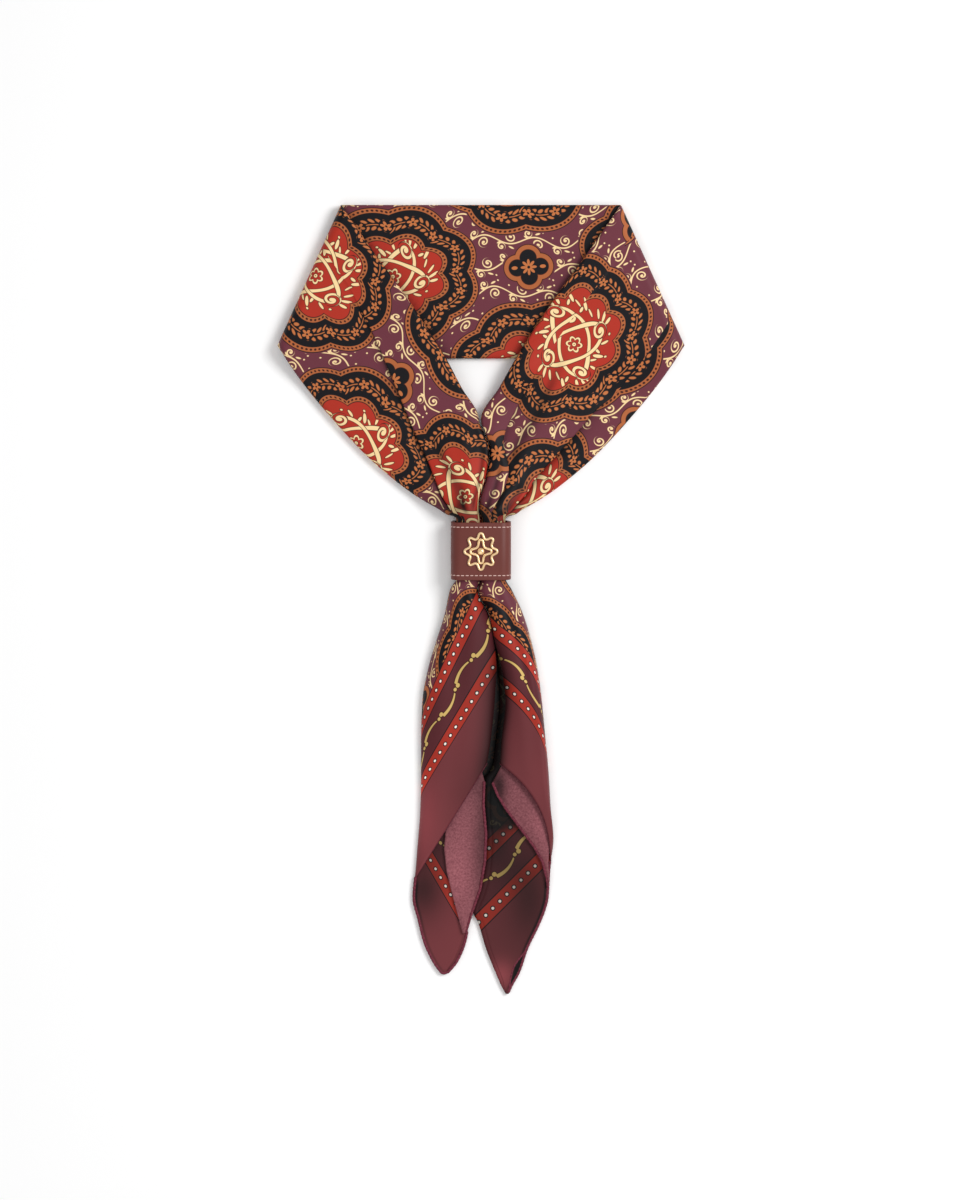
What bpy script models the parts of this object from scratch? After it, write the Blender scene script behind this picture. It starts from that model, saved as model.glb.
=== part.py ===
"""Silk square scarf, folded on the bias into a band and held by a leather ring.

The square lies on its corner, is folded twelve times into a long band, and the
band is laid flat as a neck loop: a nape stretch at the top, two side stretches
mitred over its ends, a leather ring that gathers them, and two tails below it
that open out into the square's corners.

Metres, +Z up, lying on the XY plane. +Y runs from the tips to the nape.
Lengths below are in millimetres and are scaled once, where meshes are made.
"""

import math

import bmesh
import bpy
from mathutils import Vector

MM = 0.001

# The cut and the fold
SQUARE_SIDE = 700.0                                   # the flat silk square
BAND_FOLDS = 12                                       # layers across the diagonal
BAND_WIDTH = SQUARE_SIDE * math.sqrt(2.0) / BAND_FOLDS  # 82.5, the folded band
GAP = 0.3                                             # between neighbours

# The neck loop
NAPE_TOP = 211.8           # Y of the nape fold
NAPE_TOP_HALF = 75.0       # half length of the nape along its top fold
CORNER_HALF = 109.2        # half width across the two mitre corners
CORNER_Y = 136.2           # Y of the mitre corners
NAPE_LOW = NAPE_TOP - BAND_WIDTH
NAPE_LOW_RISE = 8.5        # the lower fold slopes up towards the mitres
BAND_LOFT = 4.8            # the folded band, pressed flat
BAND_LAYERS = 3            # layers that show at a folded edge
EDGE_GROOVE = 0.9          # depth of the grooves between them
EDGE_ROUND = 1.2           # rounding of a folded edge
NOSE_RADIUS = 5.1          # round of the mitre fold
NOSE_FOOT = 6.0            # how far the mitre fold reaches in on the table
NAPE_END_INSET = 8.0       # end of the nape, inside the mitre fold
LIFT = BAND_LOFT + 0.5     # the side stretches lie on the nape

# The ring
RING_LOW_Y = 10.2
RING_HIGH_Y = 41.0
RING_WIDTH = 32.2
RING_HEIGHT = 15.6
RING_WALL = 2.2
RING_SQUARENESS = 3.5
RING_LEAN = 0.10           # the ring's mouths lean, mm of Y for each mm of Z
STRAND_FOOT = 2.9          # the cloth's underside inside the ring
STRAND_MEET_Y = 26.0       # stretches and tails meet inside the ring

# The tails
SHEET_WALL = 1.2           # a single free layer and its air
TAIL_WALL = 2.0            # the tail's lowest layers, lying flat
ARCH_SQUARENESS = 2.6
CORE_CLEARANCE = 0.9
FLAP_OVERHANG = 1.8        # the flap reaches past the layers under it
FLAP_CROWN = 1.0
FRONT_SQUEEZE = 4.0        # the ring lifts a front layer's outer edge
CORE_SQUEEZE = 1.6         # and the core's

# The ornament on the ring
ROSETTE_RADIUS = 7.4
ROSETTE_LOBES = 8
LOBE_DEPTH = 1.3
ROSETTE_STRETCH = 1.12     # a little taller than wide
WIRE_RADIUS = 0.75
BOSS_RADIUS = 2.3
BOSS_HEIGHT = 1.5

# Side stretch, from the mitre fold to the middle of the ring. The inner edge
# is the one at the neck hole. Distances across are from the middle line, and
# lean moves the seam between the two stretches to the right.
# along, inner_x, inner_y, outer_x, outer_y, lean, loft
SIDE_ROWS = (
    (0.0, 75.00, 211.8, 109.2, 136.2, 0.0, 4.8),
    (14.5, 66.90, 199.8, 101.4, 124.1, 0.0, 4.8),
    (33.6, 53.00, 180.0, 93.0, 112.6, 0.0, 4.8),
    (52.4, 40.00, 162.3, 83.0, 100.5, 0.0, 4.7),
    (71.7, 28.50, 145.0, 71.0, 87.0, 0.0, 4.6),
    (89.0, 19.20, 130.0, 59.0, 74.8, 0.0, 4.6),
    (105.5, 10.00, 113.5, 48.0, 65.3, -0.3, 4.8),
    (121.2, 0.60, 97.0, 37.5, 57.3, -0.6, 5.2),
    (134.2, 0.15, 80.0, 29.0, 51.9, 4.9, 6.2),
    (143.5, 0.15, 66.0, 22.5, 48.2, 3.0, 7.2),
    (151.0, 0.15, 54.0, 18.0, 45.3, -0.6, 8.2),
    (157.0, 0.15, 47.5, 15.0, 44.6, -1.1, 9.0),
    (162.0, 0.15, 42.8, 13.2, 42.8, 0.0, 9.6),
    (177.0, 0.15, 26.15, 13.2, 26.15, 0.0, 9.6),
)

# Tucks, the creases where an inner panel lies over the next one outwards.
# along, place across the stretch (0 inner edge, 1 outer), height of the step
LEFT_TUCKS = (
    (
        (25.0, 0.30, 0.0),
        (52.4, 0.38, 1.2),
        (89.0, 0.53, 2.2),
        (121.2, 0.70, 2.6),
        (143.5, 0.84, 2.2),
        (151.0, 0.85, 1.6),
        (160.0, 0.75, 0.0),
    ),
)
RIGHT_TUCKS = (
    (
        (78.0, 0.20, 0.0),
        (105.5, 0.24, 1.0),
        (121.2, 0.32, 1.2),
        (143.5, 0.45, 0.8),
        (160.0, 0.40, 0.0),
    ),
    (
        (58.0, 0.80, 0.0),
        (71.7, 0.765, 1.2),
        (105.5, 0.78, 1.8),
        (134.2, 0.82, 1.8),
        (151.0, 0.86, 1.4),
        (160.0, 0.75, 0.0),
    ),
)

# How round a stretch is: along, crown of each panel, round of the outer edge,
# round of the inner edge, depth of the grooves in its edges
ROUND_ROWS = (
    (0.0, 0.0, 1.2, 1.2, 0.9),
    (60.0, 0.3, 1.2, 1.2, 0.9),
    (121.0, 1.0, 1.6, 1.6, 0.8),
    (151.0, 1.0, 3.0, 2.4, 0.5),
    (162.0, 0.3, 5.2, 3.0, 0.0),
    (177.0, 0.2, 5.2, 3.0, 0.0),
)

# Tails, from the middle of the ring to the tip of the square's corner.
# y, left outline, right outline, height of the arched front layer
LEFT_TAIL_ROWS = (
    (25.85, -13.40, -0.15, 12.6),
    (11.0, -13.40, -0.15, 12.6),
    (5.5, -16.50, -1.85, 12.0),
    (-8.0, -19.50, 3.90, 11.4),
    (-22.0, -23.90, 7.00, 10.8),
    (-36.0, -28.10, 8.40, 10.2),
    (-55.0, -31.50, 7.50, 9.4),
    (-75.0, -32.20, 5.40, 8.6),
    (-96.0, -32.20, 2.30, 7.8),
    (-115.0, -32.70, 1.60, 7.0),
    (-129.0, -33.80, 3.10, 6.5),
    (-145.0, -35.10, 2.10, 5.8),
    (-160.0, -36.40, -1.80, 5.0),
    (-172.0, -33.70, -5.80, 4.5),
    (-184.0, -30.60, -8.30, 4.0),
    (-194.0, -26.00, -12.40, 3.5),
    (-199.0, -22.60, -16.30, 3.0),
    (-201.2, -20.20, -18.60, 3.0),
)
RIGHT_TAIL_ROWS = (
    (25.85, 0.15, 13.40, 12.6),
    (11.0, 0.15, 13.40, 12.6),
    (5.5, -1.55, 16.40, 12.2),
    (-8.0, 4.20, 22.70, 11.8),
    (-22.0, 7.30, 27.00, 11.2),
    (-36.0, 10.70, 30.20, 10.6),
    (-55.0, 13.00, 32.80, 9.8),
    (-75.0, 11.00, 34.70, 9.0),
    (-88.0, 10.00, 36.00, 8.4),
    (-98.0, 2.80, 36.70, 8.0),
    (-112.0, 2.20, 37.50, 7.2),
    (-129.0, 3.50, 39.00, 6.4),
    (-145.0, 2.50, 36.90, 5.8),
    (-160.0, -1.40, 36.00, 5.0),
    (-166.5, -4.00, 34.40, 4.6),
    (-175.0, -1.00, 31.00, 4.0),
    (-187.5, 2.70, 25.00, 3.6),
    (-200.0, 7.70, 20.70, 3.2),
    (-208.0, 11.20, 16.40, 3.0),
    (-211.8, 13.30, 14.90, 3.0),
)

# Rows of a tail's front layer: where each meets the left and right outlines.
# The last row is the hem, one edge of the silk square, which runs aslant.
# y on the left outline, y on the right outline
LEFT_FRONT_ROWS = (
    (25.85, 25.85),
    (11.0, 11.0),
    (5.5, 5.5),
    (-2.0, -1.0),
    (-12.0, -8.0),
    (-28.0, -19.0),
    (-46.0, -31.0),
    (-66.0, -44.0),
    (-86.0, -56.0),
    (-107.0, -67.0),
    (-129.0, -78.0),
    (-150.0, -87.6),
)
RIGHT_FRONT_ROWS = (
    (25.85, 25.85),
    (11.0, 11.0),
    (5.5, 5.5),
    (-1.0, -2.0),
    (-8.0, -12.0),
    (-19.0, -27.0),
    (-31.0, -44.0),
    (-44.0, -63.0),
    (-56.0, -83.0),
    (-67.0, -103.0),
    (-78.0, -123.0),
    (-88.0, -141.0),
)
LEFT_HEM_BOW = 0.0
RIGHT_HEM_BOW = 8.0

# The flap of each tail, the cloth's paler reverse between front and back.
# left_x, left_y, right_x, right_y of each row
LEFT_FLAP_ROWS = (
    (-11.0, -99.0, -0.6, -88.5),
    (-17.3, -112.5, 2.0, -97.5),
    (-19.0, -123.0, 1.6, -110.0),
    (-19.8, -134.0, 3.0, -126.0),
    (-18.4, -146.0, 2.4, -140.5),
    (-15.5, -158.0, -0.2, -155.6),
    (-12.3, -170.0, -4.8, -168.6),
    (-9.8, -179.2, -7.9, -178.8),
)
RIGHT_FLAP_ROWS = (
    (6.2, -98.2, 13.0, -85.5),
    (9.2, -105.5, 19.5, -90.5),
    (13.2, -112.8, 25.0, -96.5),
    (18.4, -119.5, 29.6, -104.0),
    (23.6, -126.0, 33.2, -112.5),
    (28.6, -132.6, 33.6, -121.5),
    (32.6, -141.0, 34.0, -131.5),
    (35.2, -150.5, 34.4, -142.0),
)


def smooth(value):
    """Eased step: 0 below 0, 1 above 1."""
    value = min(max(value, 0.0), 1.0)
    return value * value * (3.0 - 2.0 * value)


def blend(first, second, share):
    return first + (second - first) * share


def read_rows(rows, place):
    """Values of a table's later columns at a place along its first column.

    The curve through the rows never overshoots them.
    """
    rows = sorted(rows)
    place = min(max(place, rows[0][0]), rows[-1][0])
    last = len(rows) - 1
    index = 0
    while index < last - 1 and place > rows[index + 1][0]:
        index += 1
    slopes = [
        [(b - a) / (rows[k + 1][0] - rows[k][0]) for a, b in zip(rows[k][1:], rows[k + 1][1:])]
        for k in range(last)
    ]

    def tangents(k):
        if k == 0:
            return slopes[0]
        if k == last:
            return slopes[-1]
        return [
            0.0 if a * b <= 0.0 else 2.0 * a * b / (a + b)
            for a, b in zip(slopes[k - 1], slopes[k])
        ]

    span = rows[index + 1][0] - rows[index][0]
    t = (place - rows[index][0]) / span
    values = []
    for column in range(1, len(rows[0])):
        start, end = rows[index][column], rows[index + 1][column]
        rise = tangents(index)[column - 1] * span
        fall = tangents(index + 1)[column - 1] * span
        values.append(
            (2 * t**3 - 3 * t**2 + 1) * start
            + (t**3 - 2 * t**2 + t) * rise
            + (3 * t**2 - 2 * t**3) * end
            + (t**3 - t**2) * fall
        )
    return values


def squared_arch(angle, squareness):
    """Point of a squared half round, from (-1, 0) over (0, 1) to (1, 0)."""
    power = 2.0 / squareness
    across = -math.copysign(abs(math.cos(angle)) ** power, math.cos(angle))
    return across, abs(math.sin(angle)) ** power


def make_object(name, mesh, material, smooth_angle=40.0):
    thing = bpy.data.objects.new(name, mesh)
    scarf.objects.link(thing)
    mesh.materials.append(material)
    mesh.shade_smooth()
    mesh.set_sharp_from_angle(angle=math.radians(smooth_angle))
    return thing


def loft(name, rings, material):
    """A closed solid through rings of equal length, its flat ends as fans."""
    bm = bmesh.new()
    rows = [[bm.verts.new(Vector(point) * MM) for point in ring] for ring in rings]
    count = len(rings[0])
    for row, following in zip(rows, rows[1:]):
        for k in range(count):
            after = (k + 1) % count
            bm.faces.new((row[k], row[after], following[after], following[k]))
    for end in (rows[0], rows[-1]):
        middle = bm.verts.new(sum((vert.co for vert in end), Vector()) / count)
        for k in range(count):
            bm.faces.new((end[k], end[(k + 1) % count], middle))
    bmesh.ops.recalc_face_normals(bm, faces=bm.faces)
    mesh = bpy.data.meshes.new(name)
    bm.to_mesh(mesh)
    bm.free()
    return make_object(name, mesh, material)


def sheet(name, rows, wall, material):
    """An open surface through rows of points, given a wall below it."""
    bm = bmesh.new()
    grid = [[bm.verts.new(Vector(point) * MM) for point in row] for row in rows]
    for row, following in zip(grid, grid[1:]):
        for k in range(len(row) - 1):
            bm.faces.new((row[k], following[k], following[k + 1], row[k + 1]))
    bm.normal_update()
    if sum(face.normal.z for face in bm.faces) < 0.0:
        bmesh.ops.reverse_faces(bm, faces=bm.faces)
    mesh = bpy.data.meshes.new(name)
    bm.to_mesh(mesh)
    bm.free()
    thing = make_object(name, mesh, material)
    solidify = thing.modifiers.new("Wall", "SOLIDIFY")
    solidify.thickness = wall * MM
    solidify.offset = -1.0
    return thing


def finish(name, colour, roughness, metallic=0.0):
    """A plain Principled material."""
    material = bpy.data.materials.new(name)
    material.use_nodes = True
    shader = material.node_tree.nodes["Principled BSDF"]
    shader.inputs["Base Color"].default_value = (*colour, 1.0)
    shader.inputs["Roughness"].default_value = roughness
    shader.inputs["Metallic"].default_value = metallic
    return material


def edge_profile(rounding, groove):
    """Folded edge seen from its end: share of the height, and inset there."""
    profile = []
    steps = 2 * BAND_LAYERS
    for k in range(steps + 1):
        share = k / steps
        inset = rounding * (1.0 - math.sqrt(1.0 - (2.0 * share - 1.0) ** 2))
        between_layers = k % 2 == 0 and 0 < k < steps
        profile.append((share, inset + (groove if between_layers else 0.0)))
    return profile


def nape_low(x):
    """Y of the nape's lower fold at a place along it."""
    return NAPE_LOW + NAPE_LOW_RISE * smooth((abs(x) - 35.0) / 50.0)


def build_nape(material):
    """The back of the loop: a flat folded band that runs under both mitres."""
    slope = (CORNER_HALF - NAPE_TOP_HALF) / (NAPE_TOP - CORNER_Y)
    inset_x = NAPE_END_INSET * math.hypot(1.0, slope)
    columns = 6
    rings = []
    stations = 16
    for k in range(stations + 1):
        t = 2.0 * k / stations - 1.0
        low = nape_low(t * (CORNER_HALF - NAPE_END_INSET))
        width = NAPE_TOP - low
        edge = edge_profile(EDGE_ROUND, EDGE_GROOVE)
        section = []
        for share, inset in edge:
            section.append((inset, share * BAND_LOFT))
        for c in range(1, columns):
            section.append((blend(EDGE_ROUND, width - EDGE_ROUND, c / columns), BAND_LOFT))
        for share, inset in reversed(edge):
            section.append((width - inset, share * BAND_LOFT))
        for c in range(1, columns):
            section.append((blend(width - EDGE_ROUND, EDGE_ROUND, c / columns), 0.0))
        ring = []
        for across, height in section:
            y = low + across
            half = NAPE_TOP_HALF + (NAPE_TOP - y) * slope - inset_x
            ring.append((t * half, y, height))
        rings.append(ring)
    return loft("nape_stretch", rings, material)


def stretch_base(x, y):
    """Height of a side stretch's underside: on the nape, the table or the ring."""
    over_nape = LIFT * smooth((y - nape_low(x) + 27.0) / 24.0)
    into_ring = STRAND_FOOT * smooth((58.0 - y) / 14.0)
    return over_nape + into_ring


def stretch_stations():
    """Places along a side stretch, closer together round the mitre fold."""
    along_per_inset = 1.0 / 0.848     # the stretch leaves its fold aslant
    stations = []
    for degrees in (22.0, 45.0, 68.0, 90.0):
        angle = math.radians(degrees)
        inset = NOSE_RADIUS * (1.0 - math.cos(angle))
        stations.append((inset * along_per_inset, math.sin(angle), True))
    stations.append((NOSE_FOOT * along_per_inset, 1.0, True))
    stations.append(((NOSE_FOOT + 0.4) * along_per_inset, 1.0, False))
    for along in (14.5, 24, 33.6, 43, 52.4, 62, 71.7, 80, 89, 97, 105.5, 113,
                  121.2, 128, 134.2, 139, 143.5, 147.5, 151, 154, 157, 162, 177):
        stations.append((along, 1.0, False))
    return stations


def panel_columns(tucks, along, crown, edge_in, edge_out, width):
    """Columns across a stretch's top: share of the width, and height added."""
    sill = 0.25 / width
    places = []
    steps = []
    for tuck in tucks:
        place, step = read_rows(tuck, along)
        places.append(place)
        steps.append(step)
    starts = [edge_in / width] + [place + sill for place in places]
    ends = [place - sill for place in places] + [1.0 - edge_out / width]
    columns = []
    for panel, (start, end) in enumerate(zip(starts, ends)):
        level = sum(steps[panel:])
        for k in range(5):
            share = k / 4.0
            bulge = crown * math.sin(math.pi * share)
            columns.append((blend(start, end, share), level + bulge))
    return columns


def build_side(name, side, tucks, material):
    """A side stretch: mitre fold, tucked band, and strand inside the ring."""
    rings = []
    for along, swell, on_table in stretch_stations():
        inner_x, inner_y, outer_x, outer_y, lean, height = read_rows(SIDE_ROWS, along)
        crown, round_out, round_in, groove = read_rows(ROUND_ROWS, along)
        inner = Vector((side * inner_x + lean, inner_y))
        outer = Vector((side * outer_x, outer_y))
        width = (outer - inner).length

        def point(share, z_share, extra):
            spot = inner.lerp(outer, share)
            low = 0.0 if on_table else stretch_base(spot.x, spot.y)
            high = stretch_base(spot.x, spot.y) + height + extra
            if on_table:
                high = LIFT + height + extra
                low = blend(NOSE_RADIUS, 0.0, swell)
                high = blend(NOSE_RADIUS, high, swell)
            return (spot.x, spot.y, blend(low, high, z_share))

        columns = panel_columns(tucks, along, crown, round_in, round_out, width)
        ring = []
        for share, inset in edge_profile(round_in, groove)[:-1]:
            ring.append(point(inset / width, share, columns[0][1]))
        for share, extra in columns:
            ring.append(point(share, 1.0, extra))
        for share, inset in reversed(edge_profile(round_out, groove)[:-1]):
            ring.append(point(1.0 - inset / width, share, columns[-1][1]))
        floor_columns = 7
        for k in range(1, floor_columns):
            share = blend(1.0 - round_out / width, round_in / width, k / floor_columns)
            ring.append(point(share, 0.0, 0.0))
        rings.append(ring)
    return loft(name, rings, material)


def tail_row(tail, y):
    left, right, height = read_rows(tail, y)
    return left, right, height


def tail_foot(y):
    """Height that the ring's wall lifts the tails by."""
    return STRAND_FOOT * smooth((y + 6.0) / 15.5)


def ring_squeeze(y):
    """How far the ring's round sides lift the cloth's outer edges, 0 to 1."""
    return smooth((y + 2.0) / 11.0)


def seam_edge(y):
    """Height of a front layer's edge on the side of the other tail."""
    raised = blend(TAIL_WALL + GAP, 4.4, smooth((-60.0 - y) / 26.0))
    return blend(tail_foot(y), raised, smooth((4.0 - y) / 24.0))


def front_spot(tail, row, bend, share):
    """Place in plan on a row of a front layer, which bows upwards by bend."""
    left_y, right_y = row
    start = Vector((tail_row(tail, left_y)[0], left_y))
    end = Vector((tail_row(tail, right_y)[1], right_y))
    away = Vector((end.y - start.y, start.x - end.x)).normalized()
    if away.y < 0.0:
        away.negate()
    return start.lerp(end, share) + away * bend * 4.0 * share * (1.0 - share)


def build_front(name, side, tail, rows, bow, material):
    """A tail's front layer: an arched wall, cut off by the slanting hem."""
    columns = 14
    points = []
    for k, row in enumerate(rows):
        bend = bow * (k / (len(rows) - 1)) ** 2
        line = []
        for column in range(columns + 1):
            across, rise = squared_arch(math.pi * column / columns, ARCH_SQUARENESS)
            share = (across + 1.0) / 2.0
            spot = front_spot(tail, row, bend, share)
            height = tail_row(tail, spot.y)[2]
            to_seam = share if side < 0 else 1.0 - share
            outer_foot = tail_foot(spot.y) + FRONT_SQUEEZE * ring_squeeze(spot.y)
            foot = blend(outer_foot, seam_edge(spot.y), to_seam)
            line.append((spot.x, spot.y, blend(foot, height, rise)))
        points.append(line)
    return sheet(name, points, SHEET_WALL, material)


def hem_line(tail, rows, bow):
    """The hem in plan, as a table of x and y."""
    spots = [front_spot(tail, rows[-1], bow, k / 12.0) for k in range(13)]
    line = [(spots[0].x, spots[0].y)]
    for spot in spots[1:]:
        if spot.x > line[-1][0] + 0.5:
            line.append((spot.x, spot.y))
    return line


def back_stations(tail, covered_to):
    """Y of a back's sections, one of them where the front stops covering it."""
    last = tail[-1][0]
    stations = [STRAND_MEET_Y - GAP / 2.0, RING_LOW_Y, 5.5, -0.5, -8.0]
    while stations[-1] > last + 14.0:
        stations.append(stations[-1] - 9.0)
    stations += [covered_to, covered_to - 8.0, last + 7.0, last + 3.0, last]
    stations.sort(reverse=True)
    return [y for k, y in enumerate(stations) if k == 0 or stations[k - 1] - y > 1.0]


def build_back(name, side, tail, other_tail, rows, bow, material):
    """A tail's hidden layers and its tip: a core under the front layer, which
    thins to a flat wall beyond the hem and reaches under the other edge."""
    inset = SHEET_WALL + CORE_CLEARANCE
    hem = hem_line(tail, rows, bow)
    covered_to = rows[-1][0 if side < 0 else 1] - 2.0
    split = rows[-1][1 if side < 0 else 0] - 6.0
    core_columns = 10
    floor_columns = 4
    rings = []
    for y in back_stations(tail, covered_to):
        left, right, height = tail_row(tail, y)
        outer, seam = left, right
        other_seam = tail_row(other_tail, y)[0]
        if side > 0:
            outer, seam = right, left
            other_seam = tail_row(other_tail, y)[1]
        foot = tail_foot(y)
        outer -= side * inset * smooth((y - covered_to + 8.0) / 8.0)
        shelf = (seam + other_seam) / 2.0 + side * GAP / 2.0
        if y < split:
            shelf = seam + side * FLAP_OVERHANG * smooth((y + 184.0) / 12.0)
        shelf = blend(seam + side * inset, shelf, smooth((-7.0 - y) / 8.0))
        core_seam = seam + side * min(inset, 0.25 * abs(seam - outer))
        if (core_seam - shelf) * side < 0.2:
            core_seam = shelf + side * 0.2
        shelf_height = min(max(seam_edge(y) - foot - GAP, 0.3), 0.8 * TAIL_WALL)
        ring = []
        for column in range(core_columns + 1):
            across, rise = squared_arch(math.pi * column / core_columns, ARCH_SQUARENESS)
            x = blend(outer, core_seam, (across + 1.0) / 2.0)
            beyond = smooth((read_rows(hem, x)[0] + 32.0 - y) / 15.0)
            thick = max(height - foot - inset, 1.0) * rise
            thin = TAIL_WALL * min(1.0, 0.45 + rise)
            least = shelf_height if column > core_columns / 2 else 0.5
            lift = CORE_SQUEEZE * ring_squeeze(y) if column == 0 else 0.0
            ring.append((x, y, foot + lift + max(blend(thick, thin, beyond), least)))
        ring.append((shelf, y, foot + shelf_height))
        for column in range(floor_columns + 1):
            lift = CORE_SQUEEZE * ring_squeeze(y) if column == floor_columns else 0.0
            ring.append((blend(shelf, outer, column / floor_columns), y, foot + lift))
        rings.append(ring)
    return loft(name, rings, material)


def build_flap(name, rows, material):
    """A tail's flap: the paler reverse, lying between back and front."""
    columns = 6
    points = []
    for left_x, left_y, right_x, right_y in rows:
        line = []
        for column in range(columns + 1):
            share = column / columns
            height = TAIL_WALL + GAP + SHEET_WALL + FLAP_CROWN * math.sin(math.pi * share)
            line.append((blend(left_x, right_x, share), blend(left_y, right_y, share), height))
        points.append(line)
    return sheet(name, points, SHEET_WALL, material)


def ring_surface(x):
    """Height of the leather's upper face at a place across it."""
    share = min(abs(2.0 * x / RING_WIDTH), 1.0) ** RING_SQUARENESS
    return RING_HEIGHT / 2.0 * (1.0 + (1.0 - share) ** (1.0 / RING_SQUARENESS))


def build_ring(material):
    """The leather slide: one strip closed into a flattened tube."""
    around = 36
    along = 4
    bm = bmesh.new()
    rows = []
    for row in range(along + 1):
        line = []
        for k in range(around):
            angle = 2.0 * math.pi * k / around
            across, rise = squared_arch(angle % math.pi, RING_SQUARENESS)
            flip = 1.0 if angle < math.pi - 1e-6 else -1.0
            x = RING_WIDTH / 2.0 * across * flip
            z = RING_HEIGHT / 2.0 * (1.0 + rise * flip)
            y = blend(RING_LOW_Y, RING_HIGH_Y, row / along) + RING_LEAN * (RING_HEIGHT - z)
            line.append(bm.verts.new(Vector((x, y, z)) * MM))
        rows.append(line)
    for row, following in zip(rows, rows[1:]):
        for k in range(around):
            after = (k + 1) % around
            bm.faces.new((row[k], row[after], following[after], following[k]))
    mesh = bpy.data.meshes.new("leather_ring")
    bm.to_mesh(mesh)
    bm.free()
    thing = make_object("leather_ring", mesh, material)
    solidify = thing.modifiers.new("Wall", "SOLIDIFY")
    solidify.thickness = RING_WALL * MM
    solidify.offset = -1.0
    return thing


def build_rosette(material):
    """A plain gilt wire rosette that lies on the ring's upper face."""
    points = 48
    path = bpy.data.curves.new("rosette_outline", "CURVE")
    path.dimensions = "3D"
    path.bevel_depth = WIRE_RADIUS * MM
    path.bevel_resolution = 2
    spline = path.splines.new("POLY")
    spline.points.add(points - 1)
    spline.use_cyclic_u = True
    middle_y = (RING_LOW_Y + RING_HIGH_Y) / 2.0
    for k in range(points):
        angle = 2.0 * math.pi * k / points
        reach = ROSETTE_RADIUS + LOBE_DEPTH * math.cos(ROSETTE_LOBES * angle)
        x = reach * math.sin(angle)
        y = middle_y + reach * math.cos(angle) * ROSETTE_STRETCH
        z = ring_surface(0.0) + GAP + WIRE_RADIUS
        spline.points[k].co = (x * MM, y * MM, z * MM, 1.0)
    thing = bpy.data.objects.new("rosette_outline", path)
    path.materials.append(material)
    scarf.objects.link(thing)
    return thing


def build_boss(material):
    """The small dome in the middle of the rosette: a turned profile."""
    steps = 5
    mesh = bpy.data.meshes.new("rosette_boss")
    bm = bmesh.new()
    profile = [(0.0, BOSS_HEIGHT)]
    for k in range(1, steps + 1):
        angle = math.pi / 2.0 * k / steps
        profile.append((BOSS_RADIUS * math.sin(angle), BOSS_HEIGHT * math.cos(angle)))
    profile.append((0.0, 0.0))
    line = [bm.verts.new((x * MM, 0.0, z * MM)) for x, z in profile]
    for start, end in zip(line, line[1:]):
        bm.edges.new((start, end))
    bm.to_mesh(mesh)
    bm.free()
    thing = make_object("rosette_boss", mesh, material)
    middle_y = (RING_LOW_Y + RING_HIGH_Y) / 2.0
    thing.location = Vector((0.0, middle_y, ring_surface(0.0) + GAP)) * MM
    turn = thing.modifiers.new("Turned", "SCREW")
    turn.axis = "Z"
    turn.steps = 16
    turn.render_steps = 16
    turn.use_merge_vertices = True
    turn.merge_threshold = 0.00001
    return thing


for old in list(bpy.data.objects):
    bpy.data.objects.remove(old)

scarf = bpy.data.collections.new("silk_square_scarf")
bpy.context.scene.collection.children.link(scarf)

silk = finish("printed_silk", (0.30, 0.07, 0.08), 0.42)
border_silk = finish("border_silk", (0.17, 0.045, 0.055), 0.42)
reverse_silk = finish("silk_reverse", (0.28, 0.10, 0.115), 0.55)
leather = finish("burgundy_leather", (0.13, 0.035, 0.032), 0.45)
gilt = finish("gilt_metal", (0.80, 0.52, 0.27), 0.28, 1.0)

build_nape(silk)
build_side("left_stretch", -1, LEFT_TUCKS, silk)
build_side("right_stretch", 1, RIGHT_TUCKS, silk)
build_front("left_tail_front", -1, LEFT_TAIL_ROWS, LEFT_FRONT_ROWS, LEFT_HEM_BOW, silk)
build_front("right_tail_front", 1, RIGHT_TAIL_ROWS, RIGHT_FRONT_ROWS, RIGHT_HEM_BOW, silk)
build_flap("left_tail_flap", LEFT_FLAP_ROWS, reverse_silk)
build_flap("right_tail_flap", RIGHT_FLAP_ROWS, reverse_silk)
build_back("left_tail_back", -1, LEFT_TAIL_ROWS, RIGHT_TAIL_ROWS,
           LEFT_FRONT_ROWS, LEFT_HEM_BOW, border_silk)
build_back("right_tail_back", 1, RIGHT_TAIL_ROWS, LEFT_TAIL_ROWS,
           RIGHT_FRONT_ROWS, RIGHT_HEM_BOW, border_silk)
build_ring(leather)
build_rosette(gilt)
build_boss(gilt)
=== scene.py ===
import math

import bmesh
import bpy
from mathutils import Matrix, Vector


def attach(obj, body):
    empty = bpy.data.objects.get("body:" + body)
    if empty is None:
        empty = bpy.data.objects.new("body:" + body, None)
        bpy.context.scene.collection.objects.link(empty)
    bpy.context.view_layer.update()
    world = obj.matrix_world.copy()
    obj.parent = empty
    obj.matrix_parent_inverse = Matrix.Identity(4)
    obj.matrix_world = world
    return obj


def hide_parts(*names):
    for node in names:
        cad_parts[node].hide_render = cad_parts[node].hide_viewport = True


# A silk square folded on the bias into a neck band, laid flat, its two tails held by a
# leather ring. Tables are in millimetres, X to the right and Y up the picture.

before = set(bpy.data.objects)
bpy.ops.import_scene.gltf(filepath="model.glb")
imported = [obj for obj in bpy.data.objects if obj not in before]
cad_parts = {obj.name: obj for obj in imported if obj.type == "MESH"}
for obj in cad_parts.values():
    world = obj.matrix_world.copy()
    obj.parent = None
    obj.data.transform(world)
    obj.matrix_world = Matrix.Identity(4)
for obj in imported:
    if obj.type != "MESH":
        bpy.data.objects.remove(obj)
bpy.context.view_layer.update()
mm = 0.001
root2 = math.sqrt(2.0)
printStart = 300.0      # mm along the hem where a tail's print starts


def smooth(value):
    value = min(max(value, 0.0), 1.0)
    return value * value * (3.0 - 2.0 * value)


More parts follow.
